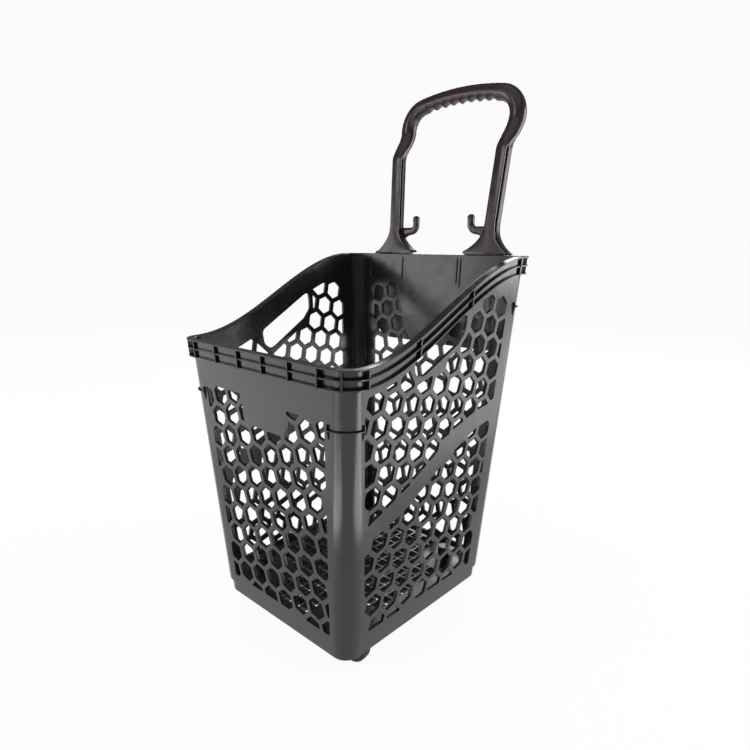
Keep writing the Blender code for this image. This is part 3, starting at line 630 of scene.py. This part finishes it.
def build_fin(bm, place, level):
    """A slanted tooth above the end of a ledge and a thin web below it."""
    outline = [(-0.0008, 0.0085), (0.0030, 0.0078), (STOP_OUT, 0.0010), (STOP_OUT - 0.0006, -0.0012),
               (0.0010, -0.0130), (-0.0008, -0.0135)]
    x, y = place(0.0, level)
    x2, y2 = place(1.0, level)
    across = Vector((y2 - y, x - x2, 0.0)).normalized() * FIN_HALF
    rings = []
    for side in (-1, 1):
        rings.append([world(*place(out, level + t), level + t) + across * side for out, t in outline])
    sweep(bm, rings)


def build_ridges(bm):
    """Short upright ridges inside the back wall, under the feet of the handle."""
    for x, length in RIDGES:
        rings = []
        for t in [i / 8 for i in range(9)]:
            size = RIDGE_R * math.sqrt(max(1.0 - (2 * abs(t - 0.5)) ** 6, 0.02))
            h = RIM_FRONT + RIM_RISE - 0.003 - length * t
            y = back_y(h) - WALL + 0.0003
            rings.append([world(x + size * math.cos(a), y - size * math.sin(a), h)
                          for a in [math.pi * k / 5 for k in range(6)]])
        sweep(bm, rings)


def build_basket(mats):
    order = [("front", (1, -1, True)), ("right", (1, 1, False)), ("back", (-1, 1, True)), ("left", (-1, -1, False))]
    bm = bmesh.new()
    columns, kinds, walls = [], [], []
    for wall, corner in order:
        run = wall_stations(wall)
        walls.append((wall, len(columns), len(columns) + len(run)))
        run += corner_stations(*corner)
        for place, kind in run:
            points, outer_top = upright(place, kind)
            columns.append([bm.verts.new(p) for p in points])
            kinds.append(kind)
    skins = (0, outer_top)
    for i in range(len(columns)):
        j = (i + 1) % len(columns)
        on_panel = any(start <= i and j < end and i < j for wall, start, end in walls)
        for k in range(len(columns[0]) - 1):
            if on_panel and k in skins:
                continue
            face = bm.faces.new((columns[i][k], columns[j][k], columns[j][k + 1], columns[i][k + 1]))
            # notch backs get the second material, a darker and duller copy of the basket plastic: painted shade for
            # the cavity behind the rim's windows
            if kinds[i] == kinds[j] == "notch" and LEDGE_END < k < outer_top - 1:
                face.material_index = 1
    for wall, start, end in walls:
        run = columns[start:end]
        if wall in ("back", "left"):
            run = run[::-1]
        build_wall_panel(bm, wall, run, outer_top)
    build_floor(bm, columns)
    build_stops(bm)
    build_ridges(bm)
    basket = link("basket", bm, mats)
    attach(basket, "basket")
    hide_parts("basket_front_wall", "basket_back_wall", "basket_left_wall", "basket_right_wall",
                "basket_corner_front_left", "basket_corner_front_right", "basket_corner_back_left",
                "basket_corner_back_right", "basket_floor")


# ---------------------------------------------------------------- shapes shared by the smaller pieces
def slab(bm, outline, frame, low, high, soft=0.0006):
    """A plate between two levels of a frame's Z axis, with softened edges."""
    inner = grown(outline, -soft)
    rings = []
    for shape, level in ((inner, low), (outline, low + soft), (outline, high - soft), (inner, high)):
        rings.append([frame @ Vector((a, b, level)) for a, b in shape])
    sweep(bm, rings)


def turned(bm, profile, frame, sides=64, closed=True, lobes=None):
    """A turned form about the frame's Z axis; the (radius, height) profile may be a closed loop."""
    columns = []
    for k in range(sides):
        angle = 2 * math.pi * k / sides
        ring = []
        for i, (radius, height) in enumerate(profile):
            if lobes and i in lobes:
                radius *= 1.0 + LOBE_DEPTH * math.cos(LOBES * angle)
            ring.append(bm.verts.new(frame @ Vector((radius * math.cos(angle), radius * math.sin(angle), height))))
        columns.append(ring)
    for k in range(sides):
        bridge(bm, columns[k], columns[(k + 1) % sides], closed)
    if not closed:
        bm.faces.new([c[0] for c in columns])
        bm.faces.new([c[-1] for c in columns])


def rectangle(width, height, radius, steps=4):
    w, h = width / 2, height / 2
    return rounded([(-w, -h), (w, -h), (w, h), (-w, h)], radius, steps)


# ---------------------------------------------------------------- handle
def handle_depth(h):
    return POST_Y + POST_LEAN * (h - POST_Z) + NECK_BACK * smooth((h - NECK_LOW) / (NECK_HIGH - NECK_LOW))


def post_x(h):
    return POST_X + POST_SPLAY * (h - POST_Z)


FOOT_STEPS = (0.0, 0.02, 0.05, 0.1, 0.16, 0.23, 0.31, 0.4, 0.5, 0.62, 0.78, 1.0)
POST_STEPS, NECK_STEPS, BEND_STEPS, GRIP_STEPS = 8, 24, 18, 54
NECK_MARGIN, BEND_TURN = 0.012, 81.0


def half_path():
    """Stations (x, height) from the right foot up and along the arch to the middle."""
    bend_h = GRIP_TOP - ARCH_RISE - BEND_R
    heights = [POST_Z + FOOT_H * t for t in FOOT_STEPS]
    for target, steps in ((NECK_LOW - NECK_MARGIN, POST_STEPS), (bend_h, NECK_STEPS)):
        heights += [heights[-1] + (target - heights[-1]) * i / steps for i in range(1, steps + 1)]
    points = [(post_x(h), h) for h in heights]
    cx = post_x(bend_h) - BEND_R
    for i in range(1, BEND_STEPS + 1):
        a = math.radians(BEND_TURN * i / BEND_STEPS)
        points.append((cx + BEND_R * math.cos(a), bend_h + BEND_R * math.sin(a)))
    x0, h0 = points[-1]
    for i in range(1, GRIP_STEPS + 1):
        x = x0 * (1 - i / GRIP_STEPS)
        points.append((x, h0 + (GRIP_TOP - h0) * (1 - (x / x0) ** 2)))
    return points


def handle_section(blend, flare, groove, scallop):
    """Across (inner side negative) and depth: a post with a groove down each side, turning into a round grip."""
    w, d = SECTION_W / 2, SECTION_D / 2
    lip, front, back = 0.0012, -d + 0.0014, -d + 0.0104
    half = [(0.0, -d - 0.0010), (0.5 * w, -d - 0.0006)]
    half += [(w - lip + lip * math.cos(a), front + lip * math.sin(a))
             for a in [math.radians(b) for b in (-75, -45, -15)]]
    half += [(w, -d + 0.0030), (w - 0.0004, -d + 0.0036), (w - 0.2 * groove, -d + 0.0039)]
    half += [(w - 0.85 * groove, -d + 0.0042), (w - groove, -d + 0.0049), (w - groove, -d + 0.0074),
             (w - 0.85 * groove, -d + 0.0081), (w - 0.2 * groove, -d + 0.0084), (w - 0.0004, -d + 0.0087)]
    half += [(w, -d + 0.0092), (w, back), (w - 0.0012, back + 0.0010), (w - 0.0024, back + 0.0040)]
    half += [(w - 0.0034, d - 0.0040), (w - 0.0048, d - 0.0012), (w - 0.0070, d), (0.4 * w, d), (0.0, d)]
    outline = half + [(-s, t) for s, t in reversed(half[1:-1])]
    ring = []
    for k, (s, t) in enumerate(outline):
        spread = min(abs(s) / (w - GROOVE), 1.0) * (0.95 if t > 0.0082 - d else 1.0)
        s += math.copysign((flare - 1.0) * w * spread, s)
        a = 2 * math.pi * k / len(outline) - math.pi / 2
        round_s, round_t = GRIP_R * math.cos(a), GRIP_DEEP * math.sin(a)
        if round_s < 0:
            round_s += scallop * abs(math.cos(a)) ** 0.7
        ring.append((s + blend * (round_s - s), t + blend * (round_t - t)))
    return ring


def build_bar(bm):
    """The handle's posts, necks and grip in one run from foot to foot."""
    right = half_path()
    path = right + [(-x, h) for x, h in reversed(right[:-1])]
    rings = []
    for i, (x, h) in enumerate(path):
        (ax, ah), (bx, bh) = path[max(i - 1, 0)], path[min(i + 1, len(path) - 1)]
        along = Vector((bx - ax, bh - ah)).normalized()
        outward = Vector((along.y, -along.x))
        if i in (0, len(path) - 1):
            outward = Vector((math.copysign(1.0, x), 0.0))
        blend = smooth((h - NECK_LOW + NECK_BLEND[0]) / NECK_BLEND[1])
        flare = 1.0 + (FOOT_W / SECTION_W - 1.0) * max(1.0 - (h - POST_Z) / FOOT_H, 0.0) ** FOOT_CURVE
        groove = GROOVE * (1.0 - smooth((h - NECK_LOW + GROOVE_END[0]) / GROOVE_END[1]))
        grip = smooth((GRIP_HALF - abs(x)) / GRIP_FADE)
        scallop = SCALLOP * grip * abs(math.sin(math.pi * x / SCALLOP_PITCH)) ** 0.8
        twist = TWIST * (1.0 - blend) * smooth((h - POST_Z) / FOOT_H)
        ring = []
        for s, t in handle_section(blend, flare, groove, scallop):
            across = s * math.cos(twist) + t * math.sin(twist)
            deep = t * math.cos(twist) - s * math.sin(twist)
            ring.append(world(x + outward.x * across, handle_depth(h) + deep, h + outward.y * across))
        rings.append(ring)
    sweep(bm, rings)


def build_hook(bm, sx):
    """A flat-rooted bag hook on a post's inner side, with a round bulb at its tip."""
    root = post_x(HOOK_Z)
    finger = root - SECTION_W / 2 - HOOK_REACH
    depth = handle_depth(HOOK_Z) + HOOK_SET_BACK
    arm, level = finger + HOOK_BEND, HOOK_Z + HOOK_LIFT
    run = [(root - 0.0030, level - 0.0075, 0.0150, 0.0046), (root - 0.0110, level - 0.0055, 0.0132, 0.0046),
           (root - 0.0150, level - 0.0036, 0.0110, 0.0047), (arm + 0.0110, level - 0.0014, 0.0088, 0.0049),
           (arm + 0.0050, level - 0.0003, 0.0077, 0.0051)]
    for i in range(HOOK_STEPS + 1):
        a = math.pi / 2 * i / HOOK_STEPS
        run.append((arm - HOOK_BEND * math.sin(a), level + HOOK_BEND * (1 - math.cos(a)),
                    0.0074 - 0.00012 * i, 0.0053))
    bulb, top = HOOK_BULB, HOOK_Z + HOOK_TOP
    run += [(finger, HOOK_Z + 0.0165, 0.0060, 0.0054), (finger, HOOK_Z + 0.0200, 0.0063, 0.0060)]
    run += [(finger, top + bulb * math.sin(a), bulb * math.cos(a), bulb * math.cos(a))
            for a in [math.radians(b) for b in (0, 22, 42, 58, 72, 82)]]
    rings = []
    for i, (x, z, r, thick) in enumerate(run):
        (ax, az), (bx, bz) = run[max(i - 1, 0)][:2], run[min(i + 1, len(run) - 1)][:2]
        along = Vector((bx - ax, bz - az)).normalized()
        ring = []
        for c, d in circle(0.0, 0.0, 1.0, HOOK_SIDES):
            s = math.copysign(abs(c) ** HOOK_SQUARE, c) * r
            ring.append(world(sx * (x - along.y * s), depth + math.copysign(abs(d) ** HOOK_SQUARE, d) * thick,
                              z + along.x * s))
        rings.append(ring)
    sweep(bm, rings)


def plate_frame():
    """A frame parallel to the back wall, whose origin is level with the basket's underside."""
    lean = math.atan(BACK_TAPER)
    return (Matrix.Translation(world(0.0, BACK_Y + PLATE_OFF + PLATE_T / 2, 0.0))
            @ Matrix.Rotation(math.pi / 2 - lean, 4, "X"))


def build_handle(mats):
    bm = bmesh.new()
    build_bar(bm)
    for sx in (-1, 1):
        build_hook(bm, sx)
    rise = math.hypot(1.0, BACK_TAPER)
    low, high, tip = PLATE_LOW * rise, PLATE_SHOULDER * rise, (POST_Z + 0.003) * rise
    tab, dip = POST_X - FOOT_W / 2 + 0.006, tip - PLATE_DIP
    half = [(PLATE_HALF - PLATE_BEVEL, low), (PLATE_HALF, low + PLATE_BEVEL), (PLATE_HALF, high), (PLATE_EAR, tip),
            (tab, tip), (tab - 0.008, dip)]
    corners = [(-half[0][0], low)] + half + [(-x, h) for x, h in reversed(half[1:])]
    frame = plate_frame()
    posts = len(bm.faces)
    slab(bm, rounded(corners, 0.006, 5), frame, -PLATE_T / 2, PLATE_T / 2)
    for x in PLATE_RIBS:
        x0, x1, foot, head = x - PLATE_RIB_HALF, x + PLATE_RIB_HALF, low + 0.045, tip - 0.012
        slab(bm, [(x0, foot), (x1, foot), (x1, head), (x0, head)], frame,
             -PLATE_T / 2 - PLATE_RIB_DEEP, -PLATE_T / 2 + 0.001)
    for x, h in SCREWS:
        slab(bm, circle(x, h * rise, PAD_R, 32), frame, -PLATE_T / 2 - 0.0003, PLATE_T / 2 - 0.001, 0.0002)
    # the plate, its ribs and screw pads get the second material, a lighter copy of the handle plastic: painted light
    # on the plate
    for face in list(bm.faces)[posts:]:
        face.material_index = 1
    handle = link("handle_moulding", bm, mats, 50.0)
    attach(handle, "basket")
    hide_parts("handle")


def build_screws(mat):
    for number, (x, h) in enumerate(SCREWS, 1):
        seat = back_y(h) + PLATE_OFF + PLATE_T + GAP + SCREW_LIFT
        frame = Matrix.Translation(world(x, seat, h)) @ Matrix.Rotation(-math.pi / 2, 4, "X")
        profile = [(0.0018, -0.0120), (0.0018, -0.0001), (0.0040, 0.0), (0.0042, 0.0004), (0.0042, 0.0014),
                   (0.0038, 0.0021), (0.0026, 0.0026), (0.0017, 0.0026), (0.0016, 0.0011)]
        bm = bmesh.new()
        turned(bm, profile, frame, 36, closed=False, lobes=SOCKET_POINTS)
        screw = link(f"screw_{number}", bm, [mat])
        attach(screw, "basket")
        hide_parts(f"handle_screw_{number}")


# ---------------------------------------------------------------- casters
def build_wheel(label, body, frame, mats):
    """Tyre and spoked hub; the frame has the wheel's centre at its origin and the axle along Z."""
    half = WHEEL_W / 2
    side = [(HUB_R + GAP, 0.0088), (HUB_R + 0.0012, 0.0098), (0.0216, half), (0.0229, 0.0096), (0.0240, 0.0084),
            (0.0247, 0.0068), (0.0248, 0.0052), (0.0240, 0.0049), (0.0240, 0.0041), (0.0249, 0.0038),
            (WHEEL_R, 0.0020)]
    bm = bmesh.new()
    turned(bm, mirrored(side), frame, 72)
    tyre = link(f"{label}_tread", bm, [mats["tyre"]])
    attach(tyre, body)
    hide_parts(f"{label}_tyre")

    bm = bmesh.new()
    rim = [(HUB_R - 0.0026, 0.0080), (HUB_R - 0.0020, 0.0087), (HUB_R - 0.0006, 0.0087), (HUB_R, 0.0081)]
    turned(bm, mirrored(rim), frame)
    boss = [(BORE_R, half - 0.0004), (BORE_R + 0.0004, half), (0.0068, half), (0.0074, half - 0.0006)]
    turned(bm, mirrored(boss), frame, 40)
    turned(bm, mirrored([(0.0070, 0.0011), (HUB_R - 0.0022, 0.0011)]), frame)
    for k in range(SPOKES):
        spoke = frame @ Matrix.Rotation(2 * math.pi / SPOKES * k, 4, "Z") @ Matrix.Translation((0.0118, 0.0, 0.0))
        slab(bm, rectangle(0.0104, 0.0022, 0.0003, 2), spoke, -0.0066, 0.0066, 0.0004)
    hub = link(f"{label}_centre", bm, [mats["hub"]])
    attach(hub, body)
    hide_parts(f"{label}_hub")


def build_fork(label, body, frame, top, plate, mats):
    """A top plate with two cheeks that taper down to the axle, each with a round pad outside at the axle."""
    bm = bmesh.new()
    slab(bm, rectangle(*plate, 0.004), frame, top - PLATE_H, top)
    foot = TRAIL - 0.0015
    outline = [(-0.013, top - 0.0012), (0.013, top - 0.0012), (0.0235, WHEEL_R + 0.010), (0.0250, WHEEL_R)]
    outline += [(TRAIL + CHEEK_R * math.cos(a), WHEEL_R - CHEEK_R * math.sin(a))
                for a in [math.radians(18.0 * i - 2.0) for i in range(1, 10)]]
    outline += [(foot - 0.011, WHEEL_R + 0.002), (-0.013, top - PLATE_H - 0.004)]
    stand = frame @ Matrix.Rotation(math.pi / 2, 4, "X")
    inner = WHEEL_W / 2 + SIDE_PLAY
    for side in (-1, 1):
        low, high = sorted((side * inner, side * (inner + CHEEK)))
        slab(bm, outline, stand, low, high, 0.0005)
        low, high = sorted((side * (inner + CHEEK - 0.0008), side * (inner + CHEEK + 0.0002)))
        slab(bm, circle(TRAIL, WHEEL_R, AXLE_PAD_R, 28), stand, low, high, 0.0002)
    fork = link(f"{label}_bracket", bm, [mats["fork"]], 30.0)
    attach(fork, body)
    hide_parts(f"{label}_fork")


def build_casters(mats):
    to_wheel = Matrix.Translation((TRAIL, 0, WHEEL_R)) @ Matrix.Rotation(math.pi / 2, 4, "X")
    ceiling = BASE_Z + POCKET_TOP
    for side, sx in (("left", -1), ("right", 1)):
        px, py = FRONT_PIVOT
        frame = Matrix.Translation((sx * px, py + CENTRE_Y, 0.0)) @ Matrix.Rotation(SWIVEL, 4, "Z")
        build_wheel(f"front_{side}", f"front_{side}_wheel", frame @ to_wheel, mats)
        build_fork(f"front_{side}", f"front_{side}_caster", frame, ceiling - SWIVEL_SPACE, FRONT_TOP_PLATE, mats)
        px, py = REAR_PIVOT
        frame = Matrix.Translation((sx * px, py + CENTRE_Y, 0.0)) @ Matrix.Rotation(math.pi / 2, 4, "Z")
        build_wheel(f"rear_{side}", f"rear_{side}_wheel", frame @ to_wheel, mats)
        build_fork(f"rear_{side}", "basket", frame, ceiling - GAP, REAR_TOP_PLATE, mats)


# ---------------------------------------------------------------- materials
TONE_STOPS, CLOUDS, SMEARS, WAVES = (0.35, 0.68), (16.0, 5.0), (55.0, 6.0), (38.0, 2.0)
SMEAR_RANGE, GLOSSIER, DULLER = (0.3, 0.7), 0.05, 0.07
GRAIN_DETAIL, GRAIN_STRENGTH, WAVE_STRENGTH, WAVE_RELIEF = 3.0, 0.3, 0.35, 0.00016


def shader(mat):
    mat.use_nodes = True
    return mat.node_tree.nodes["Principled BSDF"]


def noise(tree, place, scale, detail):
    """A noise texture in object space; returns its grey output."""
    node = tree.nodes.new("ShaderNodeTexNoise")
    node.inputs["Scale"].default_value = scale
    node.inputs["Detail"].default_value = detail
    tree.links.new(place.outputs["Object"], node.inputs["Vector"])
    return node.outputs["Fac"]


def bump(tree, height, strength, distance):
    node = tree.nodes.new("ShaderNodeBump")
    node.inputs["Strength"].default_value = strength
    node.inputs["Distance"].default_value = distance
    tree.links.new(height, node.inputs["Height"])
    return node


def moulded(name, colour, rough, grain=900.0, relief=0.000015, mottle=0.05, specular=0.5):
    """Moulded plastic: slightly uneven colour and gloss, a fine grain and shallow flow waves."""
    mat = bpy.data.materials.new(name)
    main = shader(mat)
    tree = mat.node_tree
    new, join = tree.nodes.new, tree.links.new
    main.inputs["Specular IOR Level"].default_value = specular
    place = new("ShaderNodeTexCoord")
    tone = new("ShaderNodeValToRGB")
    for stop, at, sign in zip(tone.color_ramp.elements, TONE_STOPS, (-1, 1)):
        stop.position = at
        stop.color = (*[c * (1 + sign * mottle) for c in colour], 1)
    join(noise(tree, place, *CLOUDS), tone.inputs["Fac"])
    join(tone.outputs["Color"], main.inputs["Base Color"])
    gloss = new("ShaderNodeMapRange")
    for socket, value in zip(("From Min", "From Max", "To Min", "To Max"),
                             (*SMEAR_RANGE, rough - GLOSSIER, rough + DULLER)):
        gloss.inputs[socket].default_value = value
    join(noise(tree, place, *SMEARS), gloss.inputs["Value"])
    join(gloss.outputs["Result"], main.inputs["Roughness"])
    fine = bump(tree, noise(tree, place, grain, GRAIN_DETAIL), GRAIN_STRENGTH, relief)
    swell = bump(tree, noise(tree, place, *WAVES), WAVE_STRENGTH, WAVE_RELIEF)
    join(fine.outputs["Normal"], swell.inputs["Normal"])
    join(swell.outputs["Normal"], main.inputs["Normal"])
    return mat


def plated(name, colour, rough):
    """Zinc-plated steel: a fine grain and cloudy gloss."""
    mat = moulded(name, colour, rough, grain=2600.0, relief=0.00002, mottle=0.06)
    shader(mat).inputs["Metallic"].default_value = 1.0
    return mat


# ---------------------------------------------------------------- studio
LENS, SENSOR, SHIFT_Y = 28.11, 36.0, -0.004
CAMERA_AT, YAW, PITCH_DOWN = (0.6842, -0.6961, 0.6037), math.radians(43.0), math.radians(12.64)
SKY_SEEN, SKY_LIGHT, FLOOR_TONE, FLOOR_GLOW, FLOOR_SIZE = 0.965, 0.16, 0.09, 0.935, 60.0
BOXES = {                           # place, aim, size, power
    "front_box": ((-0.9, -2.5, 1.9), (0.0, 0.1, 0.45), (1.2, 0.8), 12.0),
    "left_box": ((-2.3, -2.0, 0.75), (0.0, 0.0, 0.35), (1.9, 1.2), 22.0),
    "right_box": ((1.8, 2.1, 0.95), (0.0, 0.0, 0.5), (2.0, 1.6), 45.0),
    "back_box": ((-1.6, 2.2, 1.6), (0.0, 0.0, 0.5), (1.0, 1.4), 18.0),
}
SHEETS = {                          # centre, size, turn in degrees, power
    "left_sheet": ((-0.95, -1.65), (2.2, 2.2), 0.0, 10.0),
    "right_sheet": ((1.70, 1.10), (2.4, 2.2), 0.0, 25.0),
    "left_strip": ((-0.14, -1.52), (2.0, 0.35), -103.0, 8.0),
    "right_strip": ((1.41, 0.18), (2.0, 0.35), 17.0, 8.0),
}
SHEET_LEVEL, SHEET_COLOUR = 0.02, (1.0, 0.98, 0.985)
FILL_POWER, FILL_SPREAD, FILL_TURN = 0.55, math.radians(70.0), (math.radians(25.0), 0.0, math.radians(20.0))


def set_camera():
    data = bpy.data.cameras.new("camera")
    data.lens, data.sensor_width, data.shift_y = LENS, SENSOR, SHIFT_Y
    camera = bpy.data.objects.new("camera", data)
    bpy.context.scene.collection.objects.link(camera)
    camera.location = world(*CAMERA_AT)
    camera.rotation_euler = (math.pi / 2 - PITCH_DOWN, 0.0, YAW)
    bpy.context.scene.camera = camera


def soft_light(name, at, size, power, colour=(1.0, 1.0, 1.0)):
    data = bpy.data.lights.new(name, "AREA")
    data.shape = "RECTANGLE"
    data.size, data.size_y = size
    data.energy = power
    data.color = colour
    lamp = bpy.data.objects.new(name, data)
    bpy.context.scene.collection.objects.link(lamp)
    lamp.location = at
    lamp.visible_camera = False
    return lamp


def build_studio():
    bpy.ops.mesh.primitive_plane_add(size=FLOOR_SIZE, location=(0.0, 0.0, -0.0002))
    floor = bpy.context.object
    floor.name = "studio_floor"
    mat = bpy.data.materials.new("studio_white")
    main = shader(mat)
    main.inputs["Base Color"].default_value = (FLOOR_TONE, FLOOR_TONE, FLOOR_TONE, 1.0)
    main.inputs["Roughness"].default_value = 0.9
    main.inputs["Specular IOR Level"].default_value = 0.0
    main.inputs["Emission Color"].default_value = (1.0, 1.0, 1.0, 1.0)
    main.inputs["Emission Strength"].default_value = FLOOR_GLOW
    floor.data.materials.append(mat)
    sky = bpy.data.worlds.new("studio")
    bpy.context.scene.world = sky
    sky.use_nodes = True
    tree = sky.node_tree
    seen, lit = tree.nodes["Background"], tree.nodes.new("ShaderNodeBackground")
    seen.inputs["Color"].default_value = (SKY_SEEN, SKY_SEEN, SKY_SEEN, 1.0)
    lit.inputs["Color"].default_value = (1.0, 1.0, 1.0, 1.0)
    lit.inputs["Strength"].default_value = SKY_LIGHT
    rays, mix = tree.nodes.new("ShaderNodeLightPath"), tree.nodes.new("ShaderNodeMixShader")
    tree.links.new(rays.outputs["Is Camera Ray"], mix.inputs["Fac"])
    tree.links.new(lit.outputs["Background"], mix.inputs[1])
    tree.links.new(seen.outputs["Background"], mix.inputs[2])
    tree.links.new(mix.outputs["Shader"], tree.nodes["World Output"].inputs["Surface"])
    for name, (at, aim, size, power) in BOXES.items():
        lamp = soft_light(name, at, size, power)
        lamp.rotation_euler = (Vector(aim) - Vector(at)).to_track_quat("-Z", "Y").to_euler()
    for name, (centre, size, turn, power) in SHEETS.items():
        # mirrored in the glossy walls, and not itself in view
        lamp = soft_light(name, (*centre, SHEET_LEVEL), size, power, SHEET_COLOUR)
        lamp.rotation_euler = (math.pi, 0.0, math.radians(turn))
    sun = bpy.data.lights.new("fill", "SUN")
    sun.energy, sun.angle = FILL_POWER, FILL_SPREAD
    lamp = bpy.data.objects.new("fill", sun)
    lamp.rotation_euler = FILL_TURN
    bpy.context.scene.collection.objects.link(lamp)
    bpy.context.scene.view_settings.view_transform = "Standard"


finishes = {
    "basket": moulded("basket_grey", (0.0130, 0.0124, 0.0126), 0.20),
    # painted shade: a darker, duller copy of the basket plastic for the backs of the rim's notches
    "shade_paint": moulded("basket_painted_shade", (0.009, 0.009, 0.009), 0.6, specular=0.25),
    "handle": moulded("handle_brown_black", (0.026, 0.0125, 0.0140), 0.22, relief=0.000005, mottle=0.10),
    # painted light: a lighter copy of the handle's brown-black plastic, standing in for light falling on the plate
    # behind the back wall
    "plate": moulded("handle_plate_painted_light", (0.085, 0.074, 0.078), 0.34),
    "tyre": moulded("tyre_rubber", (0.035, 0.035, 0.036), 0.72, grain=2600.0, relief=0.00008),
    "hub": moulded("wheel_plastic", (0.075, 0.076, 0.078), 0.42),
    "fork": moulded("fork_plastic", (0.028, 0.028, 0.029), 0.38),
    "socket": moulded("socket_plastic", (0.30, 0.30, 0.29), 0.45),
    "steel": plated("zinc_steel", (0.62, 0.63, 0.65), 0.34),
}
set_camera()
build_studio()
build_basket([finishes["basket"], finishes["shade_paint"]])
build_handle([finishes["handle"], finishes["plate"]])
build_screws(finishes["steel"])
build_casters(finishes)
for node_name, node in frame["nodes"].items():
    metal = node_name.endswith(("_axle", "_stem", "_fork_screw"))
    node.data.materials.clear()
    node.data.materials.append(finishes["steel" if metal else "socket"])
